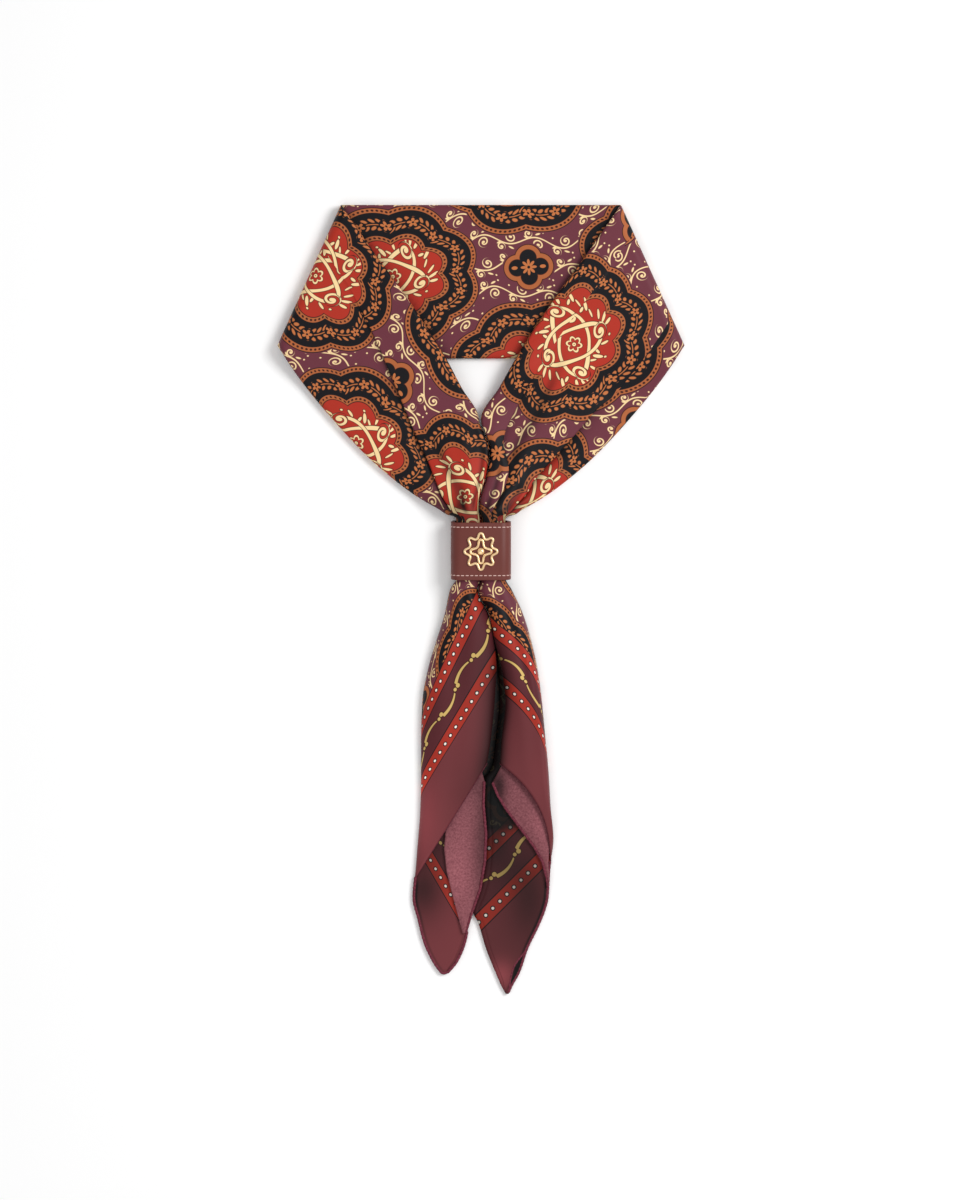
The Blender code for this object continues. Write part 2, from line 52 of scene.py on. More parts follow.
def blend(first, second, share):
    return first + (second - first) * share


def readRows(rows, place):
    # smooth curve through a table's rows that never overshoots them
    rows = sorted(rows)
    place = min(max(place, rows[0][0]), rows[-1][0])
    last = len(rows) - 1
    index = 0
    while index < last - 1 and place > rows[index + 1][0]:
        index += 1
    near = range(max(index - 1, 0), min(index + 2, last))
    slopes = {
        k: [(b - a) / (rows[k + 1][0] - rows[k][0]) for a, b in zip(rows[k][1:], rows[k + 1][1:])]
        for k in near
    }

    def tangents(k):
        if k == 0:
            return slopes[0]
        if k == last:
            return slopes[last - 1]
        return [0.0 if a * b <= 0.0 else 2.0 * a * b / (a + b)
                for a, b in zip(slopes[k - 1], slopes[k])]

    span = rows[index + 1][0] - rows[index][0]
    t = (place - rows[index][0]) / span
    before, after = tangents(index), tangents(index + 1)
    values = []
    for column in range(1, len(rows[0])):
        start, end = rows[index][column], rows[index + 1][column]
        values.append((2 * t**3 - 3 * t**2 + 1) * start + (t**3 - 2 * t**2 + t) * before[column - 1] * span
                      + (3 * t**2 - 2 * t**3) * end + (t**3 - t**2) * after[column - 1] * span)
    return values


def squaredArch(angle, squareness):
    power = 2.0 / squareness
    across = -math.copysign(abs(math.cos(angle)) ** power, math.cos(angle))
    return across, abs(math.sin(angle)) ** power


def finer(places, step):
    # the same places with more between them
    result = [places[0]]
    for start, end in zip(places, places[1:]):
        parts = max(1, math.ceil(abs(end - start) / step))
        result += [blend(start, end, k / parts) for k in range(1, parts + 1)]
    return result


# colours and node helpers

board = {"tree": None}      # the node tree being filled


def rgb(red, green, blue):
    # picture colour 0-255 to the linear value that a node holds
    parts = []
    for value in (red, green, blue):
        value /= 255.0
        parts.append(value / 12.92 if value <= 0.04045 else ((value + 0.055) / 1.055) ** 2.4)
    return (*parts, 1.0)


def feed(socket, value):
    if isinstance(value, bpy.types.NodeSocket):
        board["tree"].links.new(value, socket)
    else:
        socket.default_value = value


def calc(operation, *values, clamp=False):
    node = board["tree"].nodes.new("ShaderNodeMath")
    node.operation = operation
    node.use_clamp = clamp
    for socket, value in zip(node.inputs, values):
        feed(socket, value)
    return node.outputs[0]


def add(a, b):
    return calc("ADD", a, b)


def sub(a, b):
    return calc("SUBTRACT", a, b)


def mul(a, b):
    return calc("MULTIPLY", a, b)


def lowest(*values):
    result = values[0]
    for value in values[1:]:
        result = calc("MINIMUM", result, value)
    return result


def highest(*values):
    result = values[0]
    for value in values[1:]:
        result = calc("MAXIMUM", result, value)
    return result


def wrap(value, period):
    return calc("WRAP", value, period / 2.0, -period / 2.0)


def reach(x, y):
    return calc("SQRT", calc("MULTIPLY_ADD", x, x, mul(y, y)))


def inside(distance, soft=0.22):
    # 1 where a distance is below nought, with a soft edge
    return calc("MULTIPLY_ADD", distance, -1.0 / soft, 0.5, clamp=True)


def within(distance, half, soft=0.22):
    return calc("MULTIPLY_ADD", calc("ABSOLUTE", distance), -1.0 / soft, half / soft + 0.5, clamp=True)


def lay(base, colour, mask):
    node = board["tree"].nodes.new("ShaderNodeMix")
    node.data_type = "RGBA"
    feed(node.inputs[0], mask)
    feed(node.inputs[6], base)
    feed(node.inputs[7], colour)
    return node.outputs[2]


def pick(mask, first, second):
    node = board["tree"].nodes.new("ShaderNodeMix")
    feed(node.inputs[0], mask)
    feed(node.inputs[2], second)
    feed(node.inputs[3], first)
    return node.outputs[0]


def startGroup(name, inputs, outputs):
    tree = bpy.data.node_groups.new(name, "ShaderNodeTree")
    for label, kind in inputs:
        tree.interface.new_socket(name=label, in_out="INPUT", socket_type=kind)
    for label, kind in outputs:
        tree.interface.new_socket(name=label, in_out="OUTPUT", socket_type=kind)
    board["tree"] = tree
    entry = tree.nodes.new("NodeGroupInput")
    leave = tree.nodes.new("NodeGroupOutput")
    return entry.outputs, leave.inputs


def useGroup(name, **values):
    node = board["tree"].nodes.new("ShaderNodeGroup")
    node.node_tree = bpy.data.node_groups[name]
    for label, value in values.items():
        feed(node.inputs[label], value)
    return node.outputs


def noise(vector, scale, detail=2.0, roughness=0.5):
    node = board["tree"].nodes.new("ShaderNodeTexNoise")
    feed(node.inputs["Vector"], vector)
    node.inputs["Scale"].default_value = scale
    node.inputs["Detail"].default_value = detail
    node.inputs["Roughness"].default_value = roughness
    return node.outputs["Fac"]


# the print: a field of lobed medallions, and a border along the square's hems

ink = {
    "wine": rgb(103, 48, 59),
    "borderWine": rgb(104, 46, 50),
    "bandWine": rgb(82, 33, 38),
    "red": rgb(170, 46, 31),
    "stripeRed": rgb(157, 44, 31),
    "black": rgb(15, 12, 17),
    "ochre": rgb(170, 95, 54),
    "bead": rgb(58, 24, 18),
    "orange": rgb(188, 110, 62),
    "cream": rgb(241, 210, 156),
    "creamEdge": rgb(66, 20, 16),
    "yellow": rgb(198, 166, 98),
    "white": rgb(238, 226, 214),
}
medallion = {
    "pitchAlong": 146.0,    # brick lattice, mm
    "pitchAcross": 112.0,
    "halfAlong": 36.5,
    "halfAcross": 29.0,
    "lobes": 8,
    "lobeHigh": 0.13,       # share of the radius
    "lobeLow": 0.91,
    "frame": 6.5,           # half width of the black frame
    "line": 7.9,            # middle of the beaded lines beside it
    "lineHalf": 1.25,
    "beads": (72.0, 116.0),     # round the inner line and the outer one
    "beadSize": 0.62,
    "leaves": 64,
    "leafOut": 2.15,
    "leafLean": 42.0,
    "leafSize": 0.74,
}
# cream stems on the wine ground; places are mm along and across one bend
stems = {
    "wave": 29.2, "swing": 2.6, "rowPitch": 14.0, "half": 0.36, "clear": 10.2,
    "drift": ((56.0, 2.2), (73.0, 2.6)),    # the rows sway over this many mm, by this many
    # x, y, pitch, size, phase
    "curls": ((1.0, -1.2, 2.0, 2.9, 0.62), (-4.4, 4.2, 1.7, 2.2, 0.1)),
    # x, y, size
    "dots": ((1.0, -1.2, 0.6), (-4.4, 4.2, 0.55), (3.6, 5.6, 0.46), (-5.8, -3.0, 0.46)),
    # x, y, squeeze, slant, size
    "leaves": ((0.8, 4.3, 0.40, 0.35, 0.52), (-5.4, -0.2, 0.42, -0.4, 0.5)),
}
quatrefoil = {"lobeX": 6.2, "lobeY": 5.0, "lobeSize": 6.2, "sprigX": 7.6, "sprigFlat": 1.7, "sprigSize": 1.6}
# cream work on the red, in one quarter of the medallion
crest = {
    "twist": 0.024, "oval": (17.0, 8.0, 33.0), "thick": 1.02, "thinFrom": 12.5, "thin": 0.055,
    "curlX": 12.2, "curlY": 9.6, "curlClear": 3.9, "curl": (3.1, 4.2, 0.12, 0.66), "curlEye": 1.15,
    # x, y, turn, long, short
    "sprigs": ((18.6, 11.2, 28.0, 2.6, 0.8), (17.0, 14.0, 52.0, 2.2, 0.75), (19.4, 7.6, 0.0, 2.2, 0.75),
               (21.8, 0.0, 0.0, 2.6, 0.95), (0.0, 14.2, 90.0, 2.6, 0.95), (2.8, 12.6, 120.0, 1.9, 0.62),
               (7.4, 14.6, 62.0, 2.0, 0.7), (18.8, 2.6, 150.0, 1.9, 0.62)),
    # x, y, size
    "dots": ((24.6, 0.0, 0.62), (11.5, 0.0, 0.9), (11.4, 16.0, 0.6), (0.0, 17.9, 0.6)),
}


def flowerShape(x, y, core, petal, petals):
    # distance to a flower's outline
    turn = calc("ARCTAN2", y, x)
    lobes = calc("ABSOLUTE", calc("COSINE", mul(turn, petals / 2.0)))
    return sub(reach(x, y), calc("MULTIPLY_ADD", lobes, petal, core))


def spiral(x, y, pitch, size, phase, half):
    # distance to a spiral line that ends at its size
    away = reach(x, y)
    turns = sub(mul(away, 1 / pitch), mul(calc("ARCTAN2", y, x), 0.5 / math.pi))
    line = sub(mul(calc("ABSOLUTE", sub(calc("FRACT", add(turns, phase)), 0.5)), pitch), half)
    return highest(line, sub(away, size))


def ovalLine(x, y, long, short, turn):
    # distance to an oval line, turned
    cosine, sine = math.cos(math.radians(turn)), math.sin(math.radians(turn))
    a = add(mul(x, cosine / long), mul(y, sine / long))
    b = sub(mul(y, cosine / short), mul(x, sine / short))
    near = reach(a, b)
    slope = reach(mul(a, 1 / long), mul(b, 1 / short))
    return calc("DIVIDE", mul(near, sub(near, 1.0)), highest(slope, 0.001))


def leafAt(x, y, atX, atY, turn, long, short):
    return ovalLine(sub(x, atX), sub(y, atY), long, short, turn)


def dotAt(x, y, atX, atY, size):
    return sub(reach(sub(x, atX), sub(y, atY)), size)


def slantLeaf(x, y, atX, atY, squeeze, slant, size):
    return sub(reach(mul(sub(x, atX), squeeze), sub(sub(y, atY), mul(x, slant))), size)


def wave(value, length):
    return calc("SINE", mul(value, 2.0 * math.pi / length))


def stemScrolls(p, q):
    # a waving stem in each row of the ground, with curls in its bends
    (lengthQ, swayP), (lengthP, swayQ) = stems["drift"]
    flowP = add(p, mul(wave(q, lengthQ), swayP))
    flowQ = add(q, mul(wave(p, lengthP), swayQ))
    odd = calc("PINGPONG", calc("ROUND", mul(flowQ, 1 / stems["rowPitch"])), 1.0)
    shifted = add(flowP, mul(odd, stems["wave"] / 2))
    stem = wave(shifted, stems["wave"])
    h = wrap(sub(shifted, stems["wave"] / 4), stems["wave"] / 2)
    w = mul(wrap(flowQ, stems["rowPitch"]), calc("SIGN", stem))
    shapes = [sub(calc("ABSOLUTE", sub(w, mul(calc("ABSOLUTE", stem), stems["swing"]))), stems["half"])]
    for x, y, pitch, size, phase in stems["curls"]:
        shapes.append(spiral(sub(h, x), sub(w, y), pitch, size, phase, stems["half"]))
    shapes += [dotAt(h, w, *dot) for dot in stems["dots"]]
    shapes += [slantLeaf(h, w, *leaf) for leaf in stems["leaves"]]
    return lowest(*shapes)


def layQuatrefoils(ground, foil, x, y):
    # small four-lobed flowers between the medallions
    ground = lay(ground, ink["bead"], inside(sub(foil, 1.2)))
    ground = lay(ground, ink["ochre"], within(sub(foil, -0.4), 1.15))
    ground = lay(ground, ink["black"], inside(add(foil, 1.9)))
    ground = lay(ground, ink["orange"], inside(flowerShape(x, y, 1.3, 3.0, 8)))
    ground = lay(ground, ink["black"], inside(sub(reach(x, y), 0.8)))
    sprigX = sub(calc("ABSOLUTE", x), quatrefoil["sprigX"])
    sprigY = mul(calc("ABSOLUTE", y), quatrefoil["sprigFlat"])
    return lay(ground, ink["orange"], inside(sub(reach(sprigX, sprigY), quatrefoil["sprigSize"])))


def layFrame(ground, depth, turns, girth):
    # the red, the black frame and the beaded ochre lines on both sides of it
    m = medallion
    lineAway = sub(calc("ABSOLUTE", depth), m["line"])
    count = pick(calc("GREATER_THAN", depth, 0.0), *m["beads"])
    beadAlong = mul(sub(calc("FRACT", mul(turns, count)), 0.5), calc("DIVIDE", girth, count))
    colour = lay(ground, ink["red"], inside(sub(m["line"], depth)))
    colour = lay(colour, ink["black"], within(lineAway, m["lineHalf"] + 0.45))
    colour = lay(colour, ink["ochre"], within(lineAway, m["lineHalf"]))
    colour = lay(colour, ink["bead"], inside(sub(reach(beadAlong, lineAway), m["beadSize"])))
    return lay(colour, ink["black"], within(depth, m["frame"]))


def layLeaves(colour, depth, turns, girth):
    # leaves in pairs with a flower after every third, along the frame
    m = medallion
    leafAlong = mul(sub(calc("FRACT", mul(turns, m["leaves"])), 0.5), mul(girth, 1 / m["leaves"]))
    leafOut = sub(calc("ABSOLUTE", depth), m["leafOut"])
    lean = math.radians(m["leafLean"])
    long = add(mul(leafAlong, math.cos(lean)), mul(leafOut, math.sin(lean)))
    short = sub(mul(leafOut, math.cos(lean)), mul(leafAlong, math.sin(lean)))
    leaf = sub(reach(mul(long, 0.5), short), m["leafSize"])
    flowers = m["leaves"] / 4
    flowerTurn = calc("FRACT", calc("MULTIPLY_ADD", turns, flowers, 0.375))
    flowerAlong = mul(sub(flowerTurn, 0.5), mul(girth, 1 / flowers))
    clear = sub(3.3, reach(flowerAlong, depth))
    stalk = sub(calc("ABSOLUTE", depth), 0.25)
    sprays = lowest(highest(leaf, clear), highest(stalk, clear), flowerShape(flowerAlong, depth, 0.8, 1.8, 5))
    colour = lay(colour, ink["orange"], inside(sprays, 0.3))
    return lay(colour, ink["black"], inside(sub(reach(flowerAlong, depth), 0.55)))


def layCrest(colour, u, v, far, onRed):
    # two cream ovals laid across each other, each broken by curls, with sprigs, all a little twisted
    c = crest
    twist = mul(far, c["twist"])
    cosine, sine = calc("COSINE", twist), calc("SINE", twist)
    x = add(mul(u, cosine), mul(v, sine))
    y = sub(mul(v, cosine), mul(u, sine))
    ax, ay = calc("ABSOLUTE", x), calc("ABSOLUTE", y)
    away = reach(x, y)
    thick = sub(c["thick"], mul(calc("ABSOLUTE", sub(away, c["thinFrom"])), c["thin"]))
    curlX, curlY = sub(ax, c["curlX"]), sub(ay, c["curlY"])
    curlAway = reach(curlX, curlY)
    broken = sub(c["curlClear"], curlAway)
    long, short, turn = c["oval"]
    under, over = (highest(sub(calc("ABSOLUTE", ovalLine(x, y, long, short, way * turn)), thick), broken)
                   for way in (1, -1))
    shapes = [leafAt(ax, ay, *sprig) for sprig in c["sprigs"]] + [dotAt(ax, ay, *dot) for dot in c["dots"]]
    shapes += [spiral(curlX, curlY, *c["curl"]), sub(curlAway, c["curlEye"])]
    shapes += [sub(calc("ABSOLUTE", flowerShape(x, y, 2.5, 1.5, 6)), 0.5), sub(away, 1.0)]
    for part in (lowest(*shapes), under, over):
        colour = lay(colour, ink["creamEdge"], mul(inside(sub(part, 0.32)), onRed))
        colour = lay(colour, ink["cream"], mul(inside(part), onRed))
    return colour


def buildFieldPrint():
    m = medallion
    entry, leave = startGroup("fieldPrint", [("Along", "NodeSocketFloat"), ("Across", "NodeSocketFloat")],
                              [("Color", "NodeSocketColor")])
    p, q = entry["Along"], entry["Across"]
    # the nearer of the two medallions of the lattice
    u1, v1 = wrap(p, m["pitchAlong"]), wrap(q, m["pitchAcross"])
    u2 = wrap(add(p, m["pitchAlong"] / 2), m["pitchAlong"])
    v2 = wrap(add(q, m["pitchAcross"] / 2), m["pitchAcross"])
    near1 = reach(mul(u1, 1 / m["halfAlong"]), mul(v1, 1 / m["halfAcross"]))
    near2 = reach(mul(u2, 1 / m["halfAlong"]), mul(v2, 1 / m["halfAcross"]))
    first = calc("LESS_THAN", near1, near2)
    u, v = pick(first, u1, u2), pick(first, v1, v2)
    ratio = highest(lowest(near1, near2), 0.03)
    far = reach(u, v)
    theta = calc("ARCTAN2", mul(v, 1 / m["halfAcross"]), mul(u, 1 / m["halfAlong"]))
    lobes = calc("ABSOLUTE", calc("SINE", mul(theta, m["lobes"] / 2.0)))
    outline = calc("MULTIPLY_ADD", lobes, m["lobeHigh"], m["lobeLow"])
    depth = mul(far, sub(calc("DIVIDE", outline, ratio), 1.0))      # mm in from the frame's middle
    turns = calc("MULTIPLY_ADD", theta, 0.5 / math.pi, 0.5)
    girth = mul(far, 2.0 * math.pi)

    # the nearer of the two quatrefoils
    nearer = calc("LESS_THAN", reach(u2, v1), reach(u1, v2))
    su, sv = pick(nearer, u2, u1), pick(nearer, v1, v2)
    ax, ay = calc("ABSOLUTE", su), calc("ABSOLUTE", sv)
    f = quatrefoil
    foil = sub(lowest(reach(sub(ax, f["lobeX"]), ay), reach(ax, sub(ay, f["lobeY"]))), f["lobeSize"])

    free = mul(inside(add(depth, stems["clear"])), inside(sub(2.0, foil)))
    colour = lay(ink["wine"], ink["cream"], mul(inside(stemScrolls(p, q)), free))
    colour = layQuatrefoils(colour, foil, su, sv)
    colour = layFrame(colour, depth, turns, girth)
    colour = layLeaves(colour, depth, turns, girth)
    colour = layCrest(colour, u, v, far, inside(sub(m["line"] + 2.2, depth)))
    feed(leave["Color"], colour)


border = {
    "firstStripe": 38.1,    # mm from the hem
    "secondStripe": 62.3,
    "stripeHalf": 3.75,
    "stripeEdge": 0.6,
    "spotPitch": 5.35,
    "spotSize": 0.78,
    "spotEdge": 0.6,
    "vineMiddle": 50.2,
    "vineHalf": 12.0,
    "vineWave": 36.0,
    "vineBow": 2.7,
    "vineEdge": 0.5,
    "stroke": 0.80,         # half width, less towards one end
    "strokeThin": 0.045,
    "headSize": 1.25,
    "ballSize": 1.0,
    "ends": 66.6,
}


def buildBorderPrint():
    b = border
    entry, leave = startGroup("borderPrint", [("Depth", "NodeSocketFloat"), ("Along", "NodeSocketFloat")],
                              [("Color", "NodeSocketColor"), ("Mask", "NodeSocketFloat")])
    depth, along = entry["Depth"], entry["Along"]
    height = sub(depth, b["vineMiddle"])
    colour = lay(ink["borderWine"], ink["bandWine"], within(height, b["vineHalf"]))
    # a row of yellow scrolls with a curled head and a thin tail, bowed to both sides by turns
    half = b["vineWave"] / 2
    h = wrap(sub(along, half / 2), half)        # from the middle of a scroll
    w = mul(height, calc("SIGN", wave(along, b["vineWave"])))
    bow = sub(b["vineBow"], mul(mul(h, h), b["vineBow"] / (half / 2) ** 2))
    stroke = sub(calc("ABSOLUTE", sub(w, bow)), sub(b["stroke"], mul(h, b["strokeThin"])))
    stroke = highest(stroke, sub(calc("ABSOLUTE", sub(h, 0.5)), half / 2 - 2.2))
    head = dotAt(h, w, 2.7 - half / 2, -0.2, b["headSize"])
    ball = sub(reach(sub(half / 2, calc("ABSOLUTE", h)), height), b["ballSize"])
    vine = lowest(stroke, head, ball)
    colour = lay(colour, ink["bead"], inside(sub(vine, b["vineEdge"])))
    colour = lay(colour, ink["yellow"], inside(vine))
    # two red stripes with white spots
    spotAlong = wrap(along, b["spotPitch"])
    for stripeAt in (b["firstStripe"], b["secondStripe"]):
        stripe = sub(depth, stripeAt)
        spot = sub(reach(stripe, spotAlong), b["spotSize"])
        colour = lay(colour, ink["black"], within(stripe, b["stripeHalf"] + b["stripeEdge"]))
        colour = lay(colour, ink["stripeRed"], within(stripe, b["stripeHalf"]))
        colour = lay(colour, ink["black"], inside(sub(spot, b["spotEdge"])))
        colour = lay(colour, ink["white"], inside(spot))
    feed(leave["Color"], colour)
    feed(leave["Mask"], inside(sub(depth, b["ends"])))


silkLook = {
    "roughness": 0.52, "sheen": 0.02, "specular": 0.16, "fuzz": 1500.0, "cloud": 28.0,
    "ribPitch": 0.00042, "ribSlant": 0.55, "ribStrength": 0.16, "ribDeep": 0.00008,
}
reverseLook = {
    "roughness": 0.65, "sheen": 0.02, "specular": 0.15, "speckle": 900.0, "cloudLow": 0.92, "cloudHigh": 1.08,
    "bump": 0.25, "bumpDeep": 0.0001,
}


def buildTwill():
    # fine slanting ribs of the weave, and a soft random mottle of tone that also paints the light and shade
    # of the cloth's gentle undulations, on Object coordinates
    entry, leave = startGroup("twillWeave", [("Vector", "NodeSocketVector"), ("Pitch", "NodeSocketFloat")],
                              [("Height", "NodeSocketFloat"), ("Cloud", "NodeSocketFloat")])
    split = board["tree"].nodes.new("ShaderNodeSeparateXYZ")
    feed(split.inputs[0], entry["Vector"])
    slant = add(split.outputs[0], mul(split.outputs[1], silkLook["ribSlant"]))
    rib = calc("SINE", calc("DIVIDE", slant, mul(entry["Pitch"], 0.16)))       # about one over two pi
    fuzz = noise(entry["Vector"], silkLook["fuzz"], 1.0)
    feed(leave["Height"], add(mul(rib, 0.5), fuzz))
    feed(leave["Cloud"], noise(entry["Vector"], silkLook["cloud"], 2.0))


buildFieldPrint()
buildBorderPrint()
buildTwill()


def startMaterial(name, roughness, metallic=0.0, sheen=0.0, specular=0.5):
    material = bpy.data.materials.new(name)
    material.use_nodes = True
    board["tree"] = material.node_tree
    shader = material.node_tree.nodes["Principled BSDF"]
    shader.inputs["Roughness"].default_value = roughness
    shader.inputs["Metallic"].default_value = metallic
    shader.inputs["Sheen Weight"].default_value = sheen
    shader.inputs["Sheen Roughness"].default_value = 0.4
    shader.inputs["Specular IOR Level"].default_value = specular
    return material, shader


def objectPlace():
    return board["tree"].nodes.new("ShaderNodeTexCoord").outputs["Object"]


def bumpFrom(height, strength, distance):
    bump = board["tree"].nodes.new("ShaderNodeBump")
    bump.inputs["Strength"].default_value = strength
    bump.inputs["Distance"].default_value = distance
    feed(bump.inputs["Height"], height)
    return bump.outputs["Normal"]


def shaded(colour, mask, least, most):
    # the colour times a value that goes from least to most as the mask does
    node = board["tree"].nodes.new("ShaderNodeVectorMath")
    node.operation = "SCALE"
    feed(node.inputs[0], colour)
    feed(node.inputs["Scale"], add(mul(mask, most - least), least))
    return node.outputs[0]


def withPaintedShade(colour):
    # painted shade from a vertex attribute: 1 is black, below nought it is painted lighter
    node = board["tree"].nodes.new("ShaderNodeAttribute")
    node.attribute_name = "paintedShade"
    return shaded(colour, node.outputs["Fac"], 1.0, 0.0)


def printedSilk(name, least, most):
    # the face of the cloth: UV holds the distances from two hems, in metres
    look = silkLook
    material, shader = startMaterial(name, look["roughness"], 0.0, look["sheen"], look["specular"])
    uv = board["tree"].nodes.new("ShaderNodeUVMap")
    uv.uv_map = "cut"
    split = board["tree"].nodes.new("ShaderNodeSeparateXYZ")
    feed(split.inputs[0], uv.outputs[0])
    a, b = mul(split.outputs[0], 1 / mm), mul(split.outputs[1], 1 / mm)
    edge = useGroup("borderPrint", Depth=lowest(a, b), Along=highest(a, b))
    field = useGroup("fieldPrint", Along=mul(add(a, b), 1 / root2), Across=mul(sub(a, b), 1 / root2))
    colour = lay(field["Color"], edge["Color"], edge["Mask"])
    weave = useGroup("twillWeave", Vector=objectPlace(), Pitch=look["ribPitch"])
    # the mottle: random tone, and painted light and shade of soft undulations
    colour = shaded(colour, weave["Cloud"], least, most)
    feed(shader.inputs["Base Color"], withPaintedShade(colour))
    feed(shader.inputs["Normal"], bumpFrom(weave["Height"], look["ribStrength"], look["ribDeep"]))
    return material


def reverseSilk(name, dark, light):
    # the back of the cloth: the wine shows through as a pale speckle
    look = reverseLook
    material, shader = startMaterial(name, look["roughness"], 0.0, look["sheen"], look["specular"])
    place = objectPlace()
    weave = useGroup("twillWeave", Vector=place, Pitch=silkLook["ribPitch"])
    speckle = calc("MULTIPLY_ADD", noise(place, look["speckle"], 3.0, 0.7), 3.2, -1.1, clamp=True)
    # the mottle: random tone, and painted light and shade of soft undulations
    colour = shaded(lay(dark, light, speckle), weave["Cloud"], look["cloudLow"], look["cloudHigh"])
    feed(shader.inputs["Base Color"], withPaintedShade(colour))
    feed(shader.inputs["Normal"], bumpFrom(add(weave["Height"], speckle), look["bump"], look["bumpDeep"]))
    return material


faceSilk = printedSilk("printedSilk", 0.90, 1.10)
# a copy a little darker overall: painted shade for the inner layers of the tails
shadedInnerSilk = printedSilk("printedSilkShadedInner", 0.88, 1.04)
paleSilk = reverseSilk("silkReverse", rgb(108, 58, 65), rgb(138, 82, 88))
hemSilk = reverseSilk("rolledHem", rgb(84, 28, 42), rgb(122, 54, 68))
print("materials of the cloth are ready")


# cloth meshes

def selectOnly(piece):
    bpy.ops.object.select_all(action="DESELECT")
    bpy.context.view_layer.objects.active = piece
    piece.select_set(True)


def cutPlace(p, q):
    # distance along and across the band's diagonal, mm, as the UV of the print
    return ((p + q) / root2 * mm, (p - q) / root2 * mm)


def clothObject(name, verts, faces, corners, materials):
    # a vertex is x, y, z in mm and its painted shade: 1 is black, below 0 is painted light
    mesh = bpy.data.meshes.new(name)
    mesh.from_pydata([tuple(c * mm for c in vert[:3]) for vert in verts], [], faces)
    paintedShade = mesh.attributes.new("paintedShade", "FLOAT", "POINT")
    paintedShade.data.foreach_set("value", [min(vert[3], 0.98) for vert in verts])
    layer = mesh.uv_layers.new(name="cut")
    for polygon, places in zip(mesh.polygons, corners):
        for loop, place in zip(polygon.loop_indices, places):
            layer.data[loop].uv = place
    for material in materials:
        mesh.materials.append(material)
    piece = bpy.data.objects.new(name, mesh)
    bpy.context.scene.collection.objects.link(piece)
    mesh.shade_smooth()
    return piece


def turnOut(piece):
    bm = bmesh.new()
    bm.from_mesh(piece.data)
    bmesh.ops.recalc_face_normals(bm, faces=bm.faces)
    bm.to_mesh(piece.data)
    bm.free()


def loftCloth(name, rings, panels, uvAt, material):
    # closed folded cloth. A ring point is x, y, z, painted shade and the place in plan that its print comes
    # from
    count = len(rings[0])
    verts = [point[:4] for ring in rings for point in ring]
    faces, corners = [], []
    for r in range(len(rings) - 1):
        for k in range(count):
            after = (k + 1) % count
            spots = [(r, k), (r, after), (r + 1, after), (r + 1, k)]
            faces.append([i * count + j for i, j in spots])
            corners.append([uvAt(panels[k], *rings[i][j][4:]) for i, j in spots])
    for r in (0, len(rings) - 1):
        ring = rings[r]
        middle = [sum(point[c] for point in ring) / count for c in range(6)]
        verts.append(tuple(middle[:4]))
        for k in range(count):
            after = (k + 1) % count
            faces.append([r * count + k, r * count + after, len(verts) - 1])
            corners.append([uvAt(panels[k], *place[4:]) for place in (ring[k], ring[after], middle)])
    piece = clothObject(name, verts, faces, corners, [material])
    turnOut(piece)
    return piece


def sheetCloth(name, rows, uvAt, wall, materials, paintedShadeAt=None):
    # one layer of cloth through rows of x, y, z (and the place its print comes from), given its
    # thickness below
    width = len(rows[0])
    points = [point for row in rows for point in row]
    # each vertex gets the painted shade of its place
    verts = [(*point[:3], paintedShadeAt(*point[:2]) if paintedShadeAt else 0.0) for point in points]
    printed = [point[3:] or point[:2] for point in points]
    faces, corners = [], []
    for r in range(len(rows) - 1):
        for k in range(width - 1):
            face = [r * width + k, (r + 1) * width + k, (r + 1) * width + k + 1, r * width + k + 1]
            faces.append(face)
            corners.append([uvAt(*printed[i]) for i in face])
    piece = clothObject(name, verts, faces, corners, materials)
    if sum(polygon.normal.z for polygon in piece.data.polygons) < 0.0:
        piece.data.flip_normals()
    selectOnly(piece)
    solidify = piece.modifiers.new("thickness", "SOLIDIFY")
    solidify.thickness = wall * mm
    solidify.offset = -1.0
    solidify.material_offset = len(materials) - 1
    bpy.ops.object.modifier_apply(modifier=solidify.name)
    return piece


hem = {"dent": 0.16, "stitchPitch": 2.3, "sharp": 6, "step": 0.55, "sides": 10, "flat": 0.85, "endShare": 0.6}


def rolledHem(name, path, radius, dark=0.0):
    # a hand-rolled hem: a thin tube that each stitch draws in a little
    points = [Vector(point) for point in path]
    lengths = [0.0]
    for start, end in zip(points, points[1:]):
        lengths.append(lengths[-1] + (end - start).length)
    table = [(length, *point) for length, point in zip(lengths, points)]
    count = max(8, int(lengths[-1] / hem["step"]))
    spots = [Vector(readRows(table, lengths[-1] * k / count)) for k in range(count + 1)]
    sides = hem["sides"]
    verts, faces = [], []
    for k, spot in enumerate(spots):
        ahead = (spots[min(k + 1, count)] - spots[max(k - 1, 0)]).normalized()
        across = Vector((-ahead.y, ahead.x, 0.0)).normalized()
        up = across.cross(ahead)
        if up.z < 0.0:
            up.negate()
        along = lengths[-1] * k / count
        pinch = abs(math.cos(math.pi * along / hem["stitchPitch"])) ** hem["sharp"]
        girth = radius * (1.0 - hem["dent"] * pinch)
        if k in (0, count):
            girth *= hem["endShare"]
        for s in range(sides):
            turn = 2.0 * math.pi * s / sides
            outward = across * math.cos(turn) + up * hem["flat"] * math.sin(turn)
            verts.append((*(spot + outward * girth), dark))
    for k in range(count):
        for s in range(sides):
            after = (s + 1) % sides
            faces.append([k * sides + s, k * sides + after, (k + 1) * sides + after, (k + 1) * sides + s])
    faces.append(list(range(sides)))
    faces.append([count * sides + s for s in reversed(range(sides))])
    piece = clothObject(name, verts, faces, [[(0.0, 0.0)] * len(face) for face in faces], [hemSilk])
    turnOut(piece)
    return piece


